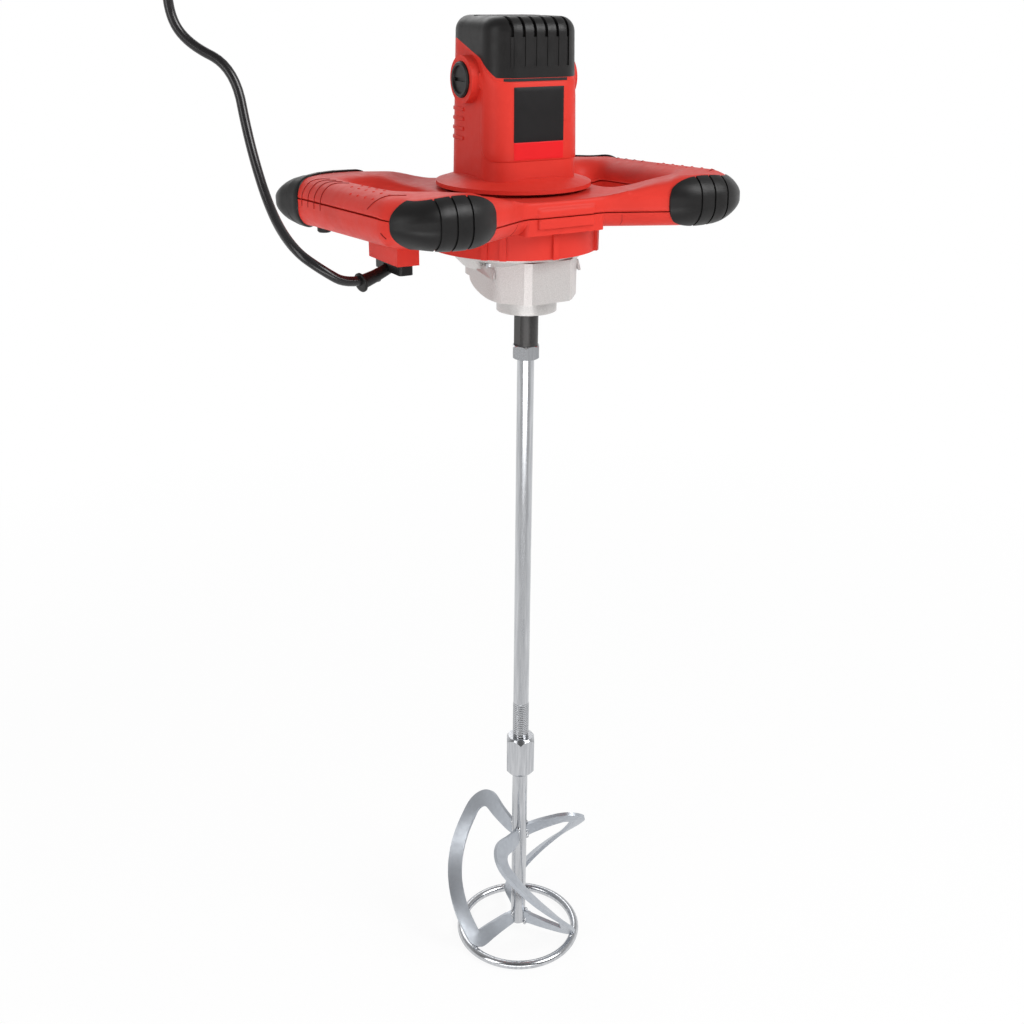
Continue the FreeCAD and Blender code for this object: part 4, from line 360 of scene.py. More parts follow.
CAMERA_TURN = math.radians(-31)
CAMERA_TILT = math.radians(23.1)
CAMERA_REACH = 0.974
CAMERA_HEIGHT = 0.239
CAMERA_ASIDE = 0.0099
CAMERA_ROLL = 0.0098
FOCAL_PIXELS = 1240
IMAGE_SIZE = 1024
SENSOR_WIDTH = 36


def make_camera():
    data = bpy.data.cameras.new("camera")
    data.sensor_width = SENSOR_WIDTH
    data.lens = FOCAL_PIXELS / IMAGE_SIZE * SENSOR_WIDTH
    camera = bpy.data.objects.new("camera", data)
    bpy.context.scene.collection.objects.link(camera)
    away = Vector((-math.sin(CAMERA_TURN), math.cos(CAMERA_TURN), 0))
    right = Vector((away.y, -away.x, 0))
    look = away * math.cos(CAMERA_TILT) - Vector((0, 0, math.sin(CAMERA_TILT)))
    up = right.cross(look)
    rolled_right = right * math.cos(CAMERA_ROLL) + up * math.sin(CAMERA_ROLL)
    rolled_up = up * math.cos(CAMERA_ROLL) - right * math.sin(CAMERA_ROLL)
    turn = Matrix((rolled_right, rolled_up, -look)).transposed().to_4x4()
    spot = Vector((0, 0, CAMERA_HEIGHT)) - away * CAMERA_REACH - right * CAMERA_ASIDE
    camera.matrix_world = Matrix.Translation(spot) @ turn
    bpy.context.scene.camera = camera


make_camera()


# Cord: the route's points, then the coil's turns, as one smooth spline; boot at its start

CORD_DIAMETER = 7 * MM
BOOT_PATH = ((-129, -24, 51.5), (-142.5, -27.5, 46.2), (-157, -30.8, 43.6))
BOOT_PROFILE = ((0, 4.2), (0.25, 4.2), (0.55, 4.5), (0.8, 4.9), (0.9, 5.1), (0.925, 5.4), (0.935, 6.6),
                (0.945, 6.9), (0.985, 6.9), (0.995, 6.6), (1, 6.0), (1, 3.6))
BOOT_SIDES = 32
CORD_ROUTE = (
    (-141.0, -27.2, 45.6),
    (-166.0, -32.6, 43.2),
    (-185.0, -30.8, 55.4),
    (-199.4, -16.4, 68.1),
    (-201.0, 20.0, 88.5),
    (-203.0, 49.0, 134.0),
    (-205.0, 61.5, 183.0),
    (-232.0, 81.0, 198.5),
    (-241.5, 87.0, 219.0),
    (-239.0, 85.3, 253.0),
    (-240.0, 86.3, 287.0),
)
COIL_ACROSS = (0.857, -0.515, 0)
COIL_RADIUS = 49 * MM
COIL_PITCH = 7.8 * MM
COIL_LAYER_TURNS = 3
COIL_EASE = 0.1
COIL_CLIMB = 0.5
COIL_TAIL = 36 * MM
POINTS_PER_TURN = 16


def coil_points(start, up):
    """Control points of the coil: a spiral in, a climb in half a turn and a spiral out."""
    across = Vector(COIL_ACROSS)
    across = (across - up * across.dot(up)).normalized()
    through = up.cross(across)
    centre = start + up * CORD_DIAMETER + across * COIL_RADIUS
    points = []
    for i in range(2 * COIL_LAYER_TURNS * POINTS_PER_TURN + 1):
        turn = i / POINTS_PER_TURN
        to_middle = turn - COIL_LAYER_TURNS
        radius = COIL_RADIUS - COIL_PITCH * (COIL_LAYER_TURNS - math.hypot(to_middle, COIL_EASE))
        climb = min(1, max(0, (to_middle + COIL_CLIMB / 2) / COIL_CLIMB))
        height = COIL_PITCH * climb * climb * (3 - 2 * climb)
        angle = 2 * math.pi * turn
        points.append(centre - across * (radius * math.cos(angle)) + up * (radius * math.sin(angle))
                      - through * height)
    points.append(points[-1] + up * COIL_TAIL)
    return points


def make_cord():
    route = [Vector(point) * MM for point in CORD_ROUTE]
    points = route + coil_points(route[-1], (route[-1] - route[-2]).normalized())
    data = bpy.data.curves.new("power_lead", "CURVE")
    data.dimensions = "3D"
    data.bevel_depth = CORD_DIAMETER / 2
    data.bevel_resolution = 5
    data.use_fill_caps = True
    data.resolution_u = 8
    spline = data.splines.new("NURBS")
    spline.points.add(len(points) - 1)
    for control, point in zip(spline.points, points):
        control.co = (*point, 1)
    spline.order_u = 3
    spline.use_endpoint_u = True
    lead = bpy.data.objects.new("power_lead", data)
    bpy.context.scene.collection.objects.link(lead)
    data.materials.append(CORD)
    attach(lead, HOUSING)
    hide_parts("power_cord", "cord_coil")


def make_boot():
    """Bent rubber boot that widens from the clamp to a thin flange."""
    first, middle, last = (Vector(point) * MM for point in BOOT_PATH)
    bm = bmesh.new()
    rings = []
    for share, radius in BOOT_PROFILE:
        spot = first.lerp(middle, share).lerp(middle.lerp(last, share), share)
        way = (middle.lerp(last, share) - first.lerp(middle, share)).normalized()
        across = way.cross(Vector((0, 0, 1))).normalized()
        above = across.cross(way)
        ring = []
        for i in range(BOOT_SIDES):
            angle = 2 * math.pi * i / BOOT_SIDES
            out = across * math.cos(angle) + above * math.sin(angle)
            ring.append(bm.verts.new(spot + out * (radius * MM)))
        rings.append(ring)
    join_rings(bm, rings)
    bm.faces.new(rings[0])
    bm.faces.new(rings[-1])
    for face in bm.faces:
        face.smooth = len(face.verts) == 4
    boot = piece("strain_boot", from_bmesh(bm, "strain_boot"), RUBBER, HOUSING)
    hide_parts("strain_relief")


make_cord()
make_boot()


# Motor housing and cap: front panel, bare label plate and strip, painted shade of the cap's slot, louvres and
# groove floors

TOWER_HALF_WIDTH = 41 * MM
TOWER_HALF_DEPTH = 40 * MM
TOWER_CORNER = 20 * MM
TOWER_FRONT = MOTOR_Y - TOWER_HALF_DEPTH
CAP_EDGE = ((TOWER_FRONT, 173.9), (TOWER_FRONT + 9 * MM, 175.6), (TOWER_FRONT + 24 * MM, 188.4),
            (MOTOR_Y + 20 * MM, 201))
CAP_EDGE_FRONT = 173.9 * MM
PANEL_FOOT = 116.4 * MM
PANEL_HALF = 54 * MM
PANEL_PROUD = 0.8 * MM
PANEL_BEVEL = 1.2 * MM
PANEL_CORNERS = (13 * MM, 1 * MM, 1 * MM, 13 * MM)
PANEL_GAP = 0.8 * MM
PANEL_STEPS = 24
LABEL_MIDDLE = -1.8 * MM
LABEL_HALF = 21.6 * MM
LABEL_TOP = 169.4 * MM
LABEL_FOOT = 130.5 * MM
LABEL_LIFT = 0.25 * MM
LABEL_BEVEL = 0.15 * MM
LABEL_STEPS = 12
STRIP_FOOT = 117.9 * MM
STRIP_LIFT = 0.2 * MM
SHARP_CORNERS = (0.4 * MM,) * 4
SLOT_MIDDLE = -4 * MM
SLOT_HALF = 28 * MM
SLOT_FOOT = 173.2 * MM
SLOT_TOP = 175.3 * MM
SLOT_PROUD = 0.12 * MM
SLOT_BEVEL = 0.05 * MM
SLOT_STEPS = 20
GROOVE_PITCH = 9.5 * MM
GROOVE_WIDTH = 2.6 * MM
GROOVE_COUNT = 6
GROOVE_FOOT = 182.6
GROOVE_ROW_STEP = 2.6
GROOVE_ROWS = 9
GROOVE_SHALLOW = 0.5 * MM
GROOVE_DEEP = 2.3 * MM
GROOVE_FILL = 0.49
RAY_START = -0.2
LOUVRE_MIDDLE = MOTOR_Y + TOWER_CORNER
LOUVRE_FOOT = 130 * MM
LOUVRE_PITCH = 7 * MM
LOUVRE_COUNT = 4
LOUVRE_HALF_LENGTH = 12 * MM
LOUVRE_HALF_WIDTH = 1.4 * MM
LOUVRE_CORNERS = (1.2 * MM,) * 4
LOUVRE_PROUD = 0.9 * MM
LOUVRE_BEVEL = 0.6 * MM


def round_tower(along, height):
    """Point at a distance along the motor housing's outline from the middle of its front."""
    side = 1 if along > 0 else -1
    rest = abs(along)
    flat = TOWER_HALF_WIDTH - TOWER_CORNER
    if rest < flat:
        return Vector((along, TOWER_FRONT, height))
    turn = (rest - flat) / TOWER_CORNER
    if turn < math.pi / 2:
        aside = side * (flat + TOWER_CORNER * math.sin(turn))
        return Vector((aside, TOWER_FRONT + TOWER_CORNER * (1 - math.cos(turn)), height))
    return Vector((side * TOWER_HALF_WIDTH, TOWER_FRONT + TOWER_CORNER * (1 + turn - math.pi / 2), height))


def cap_edge(y):
    """Lower edge of the cap, which climbs from the front to the back."""
    for (y0, z0), (y1, z1) in zip(CAP_EDGE, CAP_EDGE[1:]):
        if y <= y1:
            return (z0 + (z1 - z0) * max(0, y - y0) / (y1 - y0)) * MM
    return CAP_EDGE[-1][1] * MM


def on_front(middle, foot, top):
    """Places on the housing's front about a middle line, between two heights."""
    return lambda along, up: round_tower(along + middle, (foot + top) / 2 + up)


def on_flank(side, height):
    """Places on a flank of the housing about a louvre's middle."""
    return lambda along, up: Vector((side * TOWER_HALF_WIDTH, LOUVRE_MIDDLE + along, height + up))


def make_tower_details():
    tower = surface(nodes["motor_housing"])
    half_height = (CAP_EDGE_FRONT - PANEL_FOOT) / 2 - PANEL_GAP / 2

    def on_panel(along, up):
        spot = round_tower(along, PANEL_FOOT)
        share = (up + half_height) / (2 * half_height)
        spot.z = PANEL_FOOT + share * (cap_edge(spot.y) - PANEL_GAP - PANEL_FOOT)
        return spot

    plate("front_panel", tower, on_panel, PANEL_HALF, half_height, PANEL_CORNERS, PANEL_PROUD, PANEL_BEVEL,
          RED, PANEL_STEPS)
    plate("label_plate", tower, on_front(LABEL_MIDDLE, LABEL_FOOT, LABEL_TOP), LABEL_HALF,
          (LABEL_TOP - LABEL_FOOT) / 2, SHARP_CORNERS, PANEL_PROUD + LABEL_LIFT, LABEL_BEVEL,
          LABEL_BLACK, LABEL_STEPS)
    plate("label_strip", tower, on_front(LABEL_MIDDLE, STRIP_FOOT, LABEL_FOOT), LABEL_HALF,
          (LABEL_FOOT - STRIP_FOOT) / 2, SHARP_CORNERS, PANEL_PROUD + STRIP_LIFT, LABEL_BEVEL,
          LABEL_RED, LABEL_STEPS)
    # Painted shade: a near-black strip, barely proud, stands for the shadow in the slot under the cap's front
    # edge
    plate("cap_slot_shade", tower, on_front(SLOT_MIDDLE, SLOT_FOOT, SLOT_TOP), SLOT_HALF,
          (SLOT_TOP - SLOT_FOOT) / 2, SHARP_CORNERS, SLOT_PROUD, SLOT_BEVEL,
          DARK, SLOT_STEPS)
    for side, label in SIDES:
        for i in range(LOUVRE_COUNT):
            plate("%s_louvre_%d" % (label, i + 1), tower, on_flank(side, LOUVRE_FOOT + LOUVRE_PITCH * i),
                  LOUVRE_HALF_LENGTH, LOUVRE_HALF_WIDTH, LOUVRE_CORNERS, LOUVRE_PROUD, LOUVRE_BEVEL,
                  RED)


def make_groove_floors():
    """Shallow floors in the cap's front grooves, which stay deep only where they open over the top edge."""
    cap = surface(nodes["top_cap"])
    bm = bmesh.new()
    for i in range(GROOVE_COUNT):
        middle = GROOVE_PITCH * (i - (GROOVE_COUNT - 1) / 2)
        left, right = middle - GROOVE_WIDTH * GROOVE_FILL, middle + GROOVE_WIDTH * GROOVE_FILL
        rows = []
        for step in range(GROOVE_ROWS):
            height = (GROOVE_FOOT + GROOVE_ROW_STEP * step) * MM
            beside = Vector((middle + GROOVE_WIDTH, RAY_START, height))
            face = cap.ray_cast(beside, Vector((0, 1, 0)))[0].y
            shallow, deep = face + GROOVE_SHALLOW, face + GROOVE_DEEP
            corners = ((left, shallow), (right, shallow), (right, deep), (left, deep))
            rows.append([bm.verts.new((x, y, height)) for x, y in corners])
        join_rings(bm, rows)
        bm.faces.new(rows[0])
        bm.faces.new(rows[-1])
    piece("cap_groove_floors", from_bmesh(bm, "cap_groove_floors"), BLACK, HOUSING)


make_tower_details()
make_groove_floors()


# Grips: ribs, slots and part lines as thin beads in painted groove shade, and moulded dots; places along a
# grip are in millimetres and degrees

GRIP_X = 134.5 * MM
GRIP_Z = 85.1 * MM
GRIP_RADIUS = 19 * MM
HANDLE_FALL = 0.045
RIB_LIFT = 0.12 * MM
RIB_RADIUS = 0.32 * MM
RIB_COUNT = 4
RIB_FIRST = 81
RIB_PITCH = 12
RIB_POINTS = 7
RIB_STRAIGHT = 4
RIB_SWEEP = 3.4
RIB_POWER = 1.5
RIB_TURN = 16
RIB_BELOW = 2
GRIP_LINE = ((-37, 26), (-44, 50), (-50, 72), (-56, 100))
GRIP_SLOT = ((152.3, -58.2, 82.4), (150.7, -62.0, 78.6))
GRIP_SLOT_RADIUS = 0.55 * MM
ARM_LINE = ((45.8, -60.9, 79.8), (47.6, -58.7, 74.4), (48.4, -55, 70.5))
ARM_LINE_RADIUS = 0.2 * MM
DOT_ROWS = ((50, -36, 4), (72, -48, 6), (94, -25, 4))
DOT_PITCH = 12.5
DOT_RADIUS = 1.25 * MM
DOT_FLATNESS = 0.45


def round_grip(side, y, degrees):
    """Point beside a grip; the angle goes from its outer side over its top."""
    angle = math.radians(degrees)
    return Vector((side * (GRIP_X + GRIP_RADIUS * math.cos(angle)), y * MM,
                   GRIP_Z - HANDLE_FALL * y * MM + GRIP_RADIUS * math.sin(angle)))


def rib_places(side, start):
    """Points of a rib: straight up the outer side of a grip, then swept forward over its top."""
    places = []
    for step in range(RIB_POINTS):
        swept = RIB_SWEEP * max(0, step - RIB_STRAIGHT) ** RIB_POWER
        places.append(round_grip(side, start - swept, RIB_TURN * step - RIB_BELOW))
    return places


def make_grip_details():
    shell = surface(upper_shell, lower_shell)
    for side, label in SIDES:
        for i in range(RIB_COUNT):
            places = rib_places(side, RIB_FIRST - RIB_PITCH * i)
            strand("%s_grip_rib_%d" % (label, i + 1), draped(shell, places, RIB_LIFT), RIB_RADIUS)
        line = [round_grip(side, y, degrees) for y, degrees in GRIP_LINE]
        strand(label + "_grip_line", draped(shell, line, RIB_LIFT), RIB_RADIUS)
        make_dots(label + "_grip_dots", shell, side)
        strand(label + "_grip_slot", draped(shell, mirrored(side, GRIP_SLOT)), GRIP_SLOT_RADIUS)
        strand(label + "_arm_line", draped(shell, mirrored(side, ARM_LINE)), ARM_LINE_RADIUS)


def make_dots(name, shell, side):
    """Three staggered rows of small domes on top of a grip."""
    bm = bmesh.new()
    flat = Matrix.Diagonal((1, 1, DOT_FLATNESS, 1))
    for degrees, first, count in DOT_ROWS:
        for i in range(count):
            spot, normal, _, _ = shell.find_nearest(round_grip(side, first + DOT_PITCH * i, degrees))
            turn = normal.to_track_quat("Z", "Y").to_matrix().to_4x4()
            place = Matrix.Translation(spot) @ turn @ flat
            bmesh.ops.create_icosphere(bm, subdivisions=2, radius=DOT_RADIUS, matrix=place)
    piece(name, from_bmesh(bm, name, smooth=True), RED, HOUSING)


# Shells and bumpers with soft edges round the dish and drawn-in corners, and the trigger's spring

SHELL_VOXEL = 1.15 * MM
SHELL_PASSES = 60
EDGE_PASSES = 3
SMOOTH_SHARE = 0.5
DISH_HEIGHT = 92.5 * MM
DISH_FOOT = 74 * MM
DISH_RIM = 125 * MM
HANDLE_TOP = 103.6 * MM
SOFT_NEAR = 5 * MM
SOFT_FAR = 11 * MM
PINCH = 0.5
PINCH_POWER = 1.7
PINCH_ASIDE = (100 * MM, 162 * MM)
PINCH_FRONT = (45 * MM, 85 * MM)
PINCH_REAR = (95 * MM, 136 * MM)
PANEL_ZONE = (50 * MM, -38 * MM)
TRIGGER_TRAVEL = 6 * MM
TRIGGER_ROOM = 0.3 * MM
TRIGGER_SIDE = 1.3 * MM


def fall(value, near, far):
    """One up to near, nothing from far on."""
    return numpy.clip((far - value) / (far - near), 0, 1)


def dish_softness(spots):
    """How much of the smoothing a point gets: all of it close to the dish, none on the grips."""
    reach = numpy.hypot(spots[:, 0], spots[:, 1] - MOTOR_Y)
    share = numpy.clip((reach - DISH_FOOT) / (DISH_RIM - DISH_FOOT), 0, 1)
    level = DISH_HEIGHT + (HANDLE_TOP - DISH_HEIGHT) * (1 - numpy.cos(math.pi * share)) / 2
    inner = 1 - fall(reach, DISH_FOOT - SOFT_FAR, DISH_FOOT - SOFT_NEAR)
    outer = fall(reach, DISH_RIM, DISH_RIM + SOFT_FAR)
    off_panel = (numpy.abs(spots[:, 0]) > PANEL_ZONE[0]) | (spots[:, 1] > PANEL_ZONE[1])
    return fall(numpy.abs(spots[:, 2] - level), SOFT_NEAR, SOFT_FAR) * inner * outer * off_panel


def smoothed(spots, edges, weight, passes):
    """Moves each point part of the way to the middle of its neighbours, again and again."""
    count = len(spots)
    first, second = edges[:, 0], edges[:, 1]
    links = numpy.bincount(first, minlength=count) + numpy.bincount(second, minlength=count)
    for _ in range(passes):
        middle = numpy.empty_like(spots)
        for axis in range(3):
            line = spots[:, axis]
            total = numpy.bincount(first, line[second], count) + numpy.bincount(second, line[first], count)
            middle[:, axis] = total / links
        spots = spots + (middle - spots) * weight[:, None] * SMOOTH_SHARE
    return spots


def rise(value, ends):
    """Soft step from nothing to one between two ends."""
    share = numpy.clip((value - ends[0]) / (ends[1] - ends[0]), 0, 1)
    return share * share * (3 - 2 * share)


def pinched(spots):
    """Draws the outer corners of the handle together towards their tips."""
    end = numpy.maximum(rise(-spots[:, 1], PINCH_FRONT), rise(spots[:, 1], PINCH_REAR))
    middle = GRIP_Z - HANDLE_FALL * spots[:, 1]
    drawn = 1 - PINCH * end * rise(numpy.abs(spots[:, 0]), PINCH_ASIDE) ** PINCH_POWER
    spots[:, 2] = middle + (spots[:, 2] - middle) * drawn
    return spots


def read_spots(mesh):
    spots = numpy.empty(len(mesh.vertices) * 3)
    mesh.vertices.foreach_get("co", spots)
    return spots.reshape(-1, 3)


def make_pinched(name, material):
    """A CAD node's shape with the handle's drawn-in corners."""
    mesh = nodes[name].data.copy()
    mesh.name = "soft_" + name
    mesh.materials.clear()
    mesh.vertices.foreach_set("co", pinched(read_spots(mesh)).ravel())
    mesh.update()
    made = piece(mesh.name, mesh, material, HOUSING)
    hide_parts(name)
    return made


def clear_of_trigger(spots):
    """Lifts points of the upper shell out of the room that the trigger slides through."""
    low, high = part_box("trigger")
    inside = (spots[:, 0] > low[0] - TRIGGER_TRAVEL - TRIGGER_SIDE) & (spots[:, 0] < high[0] + TRIGGER_SIDE)
    inside &= (spots[:, 1] > low[1] - TRIGGER_SIDE) & (spots[:, 1] < high[1] + TRIGGER_SIDE)
    inside &= spots[:, 2] < high[2] + TRIGGER_ROOM
    spots[inside, 2] = high[2] + TRIGGER_ROOM
    return spots


def make_trigger_spring():
    """A copy of the trigger's spring, with a mesh of its own."""
    mesh = nodes["trigger_spring"].data.copy()
    mesh.materials.clear()
    spring = piece("trigger_coil", mesh, STEEL, HOUSING)
    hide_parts("trigger_spring")
    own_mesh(spring)


def make_soft_shell():
    """The voxels lie along the tilted handle, so that the seam's edge comes out straight."""
    level_mesh = nodes["upper_handle_shell"].data.copy()
    level_spots = read_spots(level_mesh)
    level_spots[:, 2] += HANDLE_FALL * level_spots[:, 1]
    level_mesh.vertices.foreach_set("co", level_spots.ravel())
    rough = bpy.data.objects.new("rough_shell", level_mesh)
    bpy.context.scene.collection.objects.link(rough)
    remesh = rough.modifiers.new("remesh", "REMESH")
    remesh.mode = "VOXEL"
    remesh.voxel_size = SHELL_VOXEL
    remesh.use_smooth_shade = True
    mesh = bpy.data.meshes.new_from_object(rough.evaluated_get(bpy.context.evaluated_depsgraph_get()))
    bpy.data.objects.remove(rough)
    mesh.name = "soft_upper_shell"
    mesh.materials.clear()
    edges = numpy.empty(len(mesh.edges) * 2, dtype=numpy.int32)
    mesh.edges.foreach_get("vertices", edges)
    spots, edges = read_spots(mesh), edges.reshape(-1, 2)
    spots = smoothed(spots, edges, numpy.ones(len(spots)), EDGE_PASSES)
    spots[:, 2] -= HANDLE_FALL * spots[:, 1]
    spots = smoothed(spots, edges, dish_softness(spots), SHELL_PASSES)
    mesh.vertices.foreach_set("co", clear_of_trigger(pinched(spots)).ravel())
    mesh.update()
    shell = piece("soft_upper_shell", mesh, RED, HOUSING)
    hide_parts("upper_handle_shell")
    return shell


upper_shell = make_soft_shell()
lower_shell = make_pinched("lower_handle_shell", RED)
for bumper_name in BUMPERS:
    make_pinched(bumper_name, RUBBER)
make_trigger_spring()
make_grip_details()


# Rubber of the rear bumpers where it laps forward over the grips

SKIRT_REACH = 13 * MM
SKIRT_LEAST = 1.2 * MM
SKIRT_POWER = 0.7
SKIRT_PROUD = 1.4 * MM
SKIRT_LAP = 2 * MM
SKIRT_LIP = 0.8 * MM
SKIRT_EDGE = 0.2 * MM
SKIRT_EDGE_SHARE = 0.7
SKIRT_SUNK = -0.4 * MM
SKIRT_ANGLE = 84
SKIRT_STEPS = 48
SKIRT_FEEL = (-3, 0, 3)


def outer_reach(shell, side, y, degrees):
    """Middle of a grip, way out from it and distance to its surface, felt beside the seam as well."""
    middle = Vector((side * GRIP_X, y, GRIP_Z - HANDLE_FALL * y))
    found = []
    for aside in SKIRT_FEEL:
        way = (round_grip(side, y / MM, degrees + aside) - middle).normalized()
        spot = shell.ray_cast(middle + way * GRIP_RADIUS * 2, -way)[0]
        if spot:
            found.append((spot - middle).length)
    way = (round_grip(side, y / MM, degrees) - middle).normalized()
    return middle, way, max(found)


def make_bumper_skirts():
    shell = surface(upper_shell, lower_shell)
    for side, label in SIDES:
        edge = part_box("rear_%s_bumper" % label)[0][1]
        bm = bmesh.new()
        before = None
        for i in range(SKIRT_STEPS + 1):
            turn = i / SKIRT_STEPS * 2 - 1
            depth = max(SKIRT_REACH * math.cos(turn * math.pi / 2) ** SKIRT_POWER, SKIRT_LEAST)
            profile = ((SKIRT_LAP, SKIRT_PROUD), (-0.3 * depth, SKIRT_PROUD), (-0.6 * depth, SKIRT_PROUD),
                       (SKIRT_LIP - depth, SKIRT_PROUD), (SKIRT_EDGE - depth, SKIRT_PROUD * SKIRT_EDGE_SHARE),
                       (-depth, SKIRT_SUNK))
            row = []
            for along, height in profile:
                middle, way, reach = outer_reach(shell, side, edge + along, turn * SKIRT_ANGLE)
                row.append(bm.verts.new(middle + way * (reach + height)))
            if before:
                for j in range(len(row) - 1):
                    bm.faces.new((before[j], before[j + 1], row[j + 1], row[j]))
            before = row
        name = label + "_bumper_skirt"
        piece(name, from_bmesh(bm, name, smooth=True), RUBBER, HOUSING)


make_bumper_skirts()


# Gearbox: sloped rim under the handle and a boss below each front screw; profiles in millimetres

RIM_CENTRE = Vector((0, 17 * MM, 0))
RIM_OUTSIDE = ((46, 47.7), (53, 47.7), (53.4, 47.3), (53.4, 44.6), (52.9, 43.9))
RIM_PROFILE = RIM_OUTSIDE + ((43.6, 34.4), (41.5, 34.2), (41, 40))
POCKET_PROFILE = RIM_OUTSIDE + ((50.2, 43.6), (49, 43.8), (46, 44.5))
POCKET_ANGLES = (212.6, 327.4)
POCKET_HALF = 9
RIM_STEPS = 180
BOSS_FACE = ((41.4, 6, 41.2), (39.2, -14, 38.6), (40.8, -16, 29.8), (43.6, 4.5, 34.6))
BOSS_DEPTH = 3 * MM
BOSS_BEVEL = 0.6 * MM


def make_gearbox_rim():
    bm = bmesh.new()
    rings = []
    for i in range(RIM_STEPS):
        degrees = 360 * i / RIM_STEPS
        in_pocket = any(abs(degrees - angle) < POCKET_HALF for angle in POCKET_ANGLES)
        profile = POCKET_PROFILE if in_pocket else RIM_PROFILE
        way = Vector((math.cos(math.radians(degrees)), math.sin(math.radians(degrees)), 0))
        rings.append([bm.verts.new(RIM_CENTRE + (way * radius + Vector((0, 0, height))) * MM)
                      for radius, height in profile])
    for first, second in zip(rings, rings[1:] + rings[:1]):
        for j in range(len(first)):
            k = (j + 1) % len(first)
            bm.faces.new((first[j], second[j], second[k], first[k]))
    piece("gearbox_rim", from_bmesh(bm, "gearbox_rim"), ALLOY, HOUSING)


def make_screw_bosses():
    for side, label in SIDES:
        bm = bmesh.new()
        outer = mirrored(side, BOSS_FACE)
        inner = [spot - Vector((side * BOSS_DEPTH, 0, 0)) for spot in outer]
        front = [bm.verts.new(spot) for spot in outer]
        back = [bm.verts.new(spot) for spot in inner]
        bm.faces.new(front)
        bm.faces.new(back)
        join_rings(bm, (front, back))
        bmesh.ops.bevel(bm, geom=bm.edges[:], offset=BOSS_BEVEL, segments=3, affect="EDGES")
        name = label + "_screw_boss"
        piece(name, from_bmesh(bm, name), ALLOY, HOUSING)


make_gearbox_rim()
make_screw_bosses()


# Rod and paddle: thread above the coupling, weld beads

ROD_RADIUS = 7 * MM
RING_RADIUS = 56 * MM
RING_HEIGHT = -622 * MM
THREAD_FOOT = -400 * MM
THREAD_TURNS = 18
THREAD_PITCH = 2 * MM
THREAD_STEPS = 28
THREAD_ROOT = ROD_RADIUS - 0.15 * MM
THREAD_CREST = ROD_RADIUS + 0.32 * MM
THREAD_HALF = 0.85 * MM
DROP_UNEVENNESS = 0.35
DROP_GRAIN = 420
DROP_SHIFT = 3.1
WELD_STEPS = 4
ROD_WELD_RADIUS = 1.9 * MM
ROD_WELD_REACH = ROD_RADIUS + 0.6 * MM
ROD_WELD_ZONE = ROD_RADIUS + 2.5 * MM
RING_WELD_RADIUS = 1.8 * MM
RING_WELD_REACH = RING_RADIUS - 1 * MM
RING_WELD_HEIGHT = RING_HEIGHT + 3.2 * MM
RING_WELD_ZONE = RING_RADIUS - 5 * MM
RING_WELD_TOP = RING_HEIGHT + 8 * MM


def make_thread():
    bm = bmesh.new()
    profile = ((THREAD_ROOT, -THREAD_HALF), (THREAD_CREST, 0), (THREAD_ROOT, THREAD_HALF))
    before = None
    total = THREAD_TURNS * THREAD_STEPS
    for i in range(total + 1):
        angle = 2 * math.pi * i / THREAD_STEPS
        fade = min(1, (total - i) / THREAD_STEPS, i / THREAD_STEPS)
        row = []
        for radius, above in profile:
            shown = ROD_RADIUS + (radius - ROD_RADIUS) * fade
            row.append(bm.verts.new((shown * math.cos(angle), shown * math.sin(angle),
                                     THREAD_FOOT + THREAD_PITCH * i / THREAD_STEPS + above)))
        if before:
            for j in range(len(row) - 1):
                bm.faces.new((before[j], row[j], row[j + 1], before[j + 1]))
        before = row
    piece("rod_thread", from_bmesh(bm, "rod_thread"), ZINC_DARK, DRIVE)


def from_axis(spot):
    return math.hypot(spot.x, spot.y)


def weld_row(first, last, radius, height=None):
    """Spots from one point to another, moved to a distance from the axis and, if given, to a height."""
    row = []
    for step in range(WELD_STEPS + 1):
        spot = first.lerp(last, step / WELD_STEPS)
        reach = from_axis(spot)
        level = spot.z if height is None else height
        row.append(Vector((spot.x / reach, spot.y / reach, 0)) * radius + Vector((0, 0, level)))
    return row


def bead(bm, spots, radius):
    """A weld: a row of uneven drops that run into one another."""
    for i, spot in enumerate(spots):
        made = bmesh.ops.create_icosphere(bm, subdivisions=3, radius=radius, matrix=Matrix.Translation(spot))
        shift = Vector((i * DROP_SHIFT, 0, 0))
        for vert in made["verts"]:
            out = vert.co - spot
            vert.co = spot + out * (1 + DROP_UNEVENNESS * texture.noise(vert.co * DROP_GRAIN + shift))


def make_welds():
    bm = bmesh.new()
    for name in BLADES:
        spots = [vert.co for vert in nodes[name].data.vertices]
        middle = (min(spot.z for spot in spots) + max(spot.z for spot in spots)) / 2
        near = [spot for spot in spots if from_axis(spot) < ROD_WELD_ZONE]
        for group in ([s for s in near if s.z > middle], [s for s in near if s.z < middle]):
            low, high = min(group, key=lambda s: s.z), max(group, key=lambda s: s.z)
            bead(bm, weld_row(low, high, ROD_WELD_REACH), ROD_WELD_RADIUS)
        rim = [spot for spot in spots if from_axis(spot) > RING_WELD_ZONE and spot.z < RING_WELD_TOP]
        if rim:
            first, last = min(rim, key=lambda s: s.x + s.y), max(rim, key=lambda s: s.x + s.y)
            bead(bm, weld_row(first, last, RING_WELD_REACH, RING_WELD_HEIGHT), RING_WELD_RADIUS)
    piece("weld_beads", from_bmesh(bm, "weld_beads", smooth=True), ZINC, DRIVE)


make_thread()
make_welds()


# Stage and light

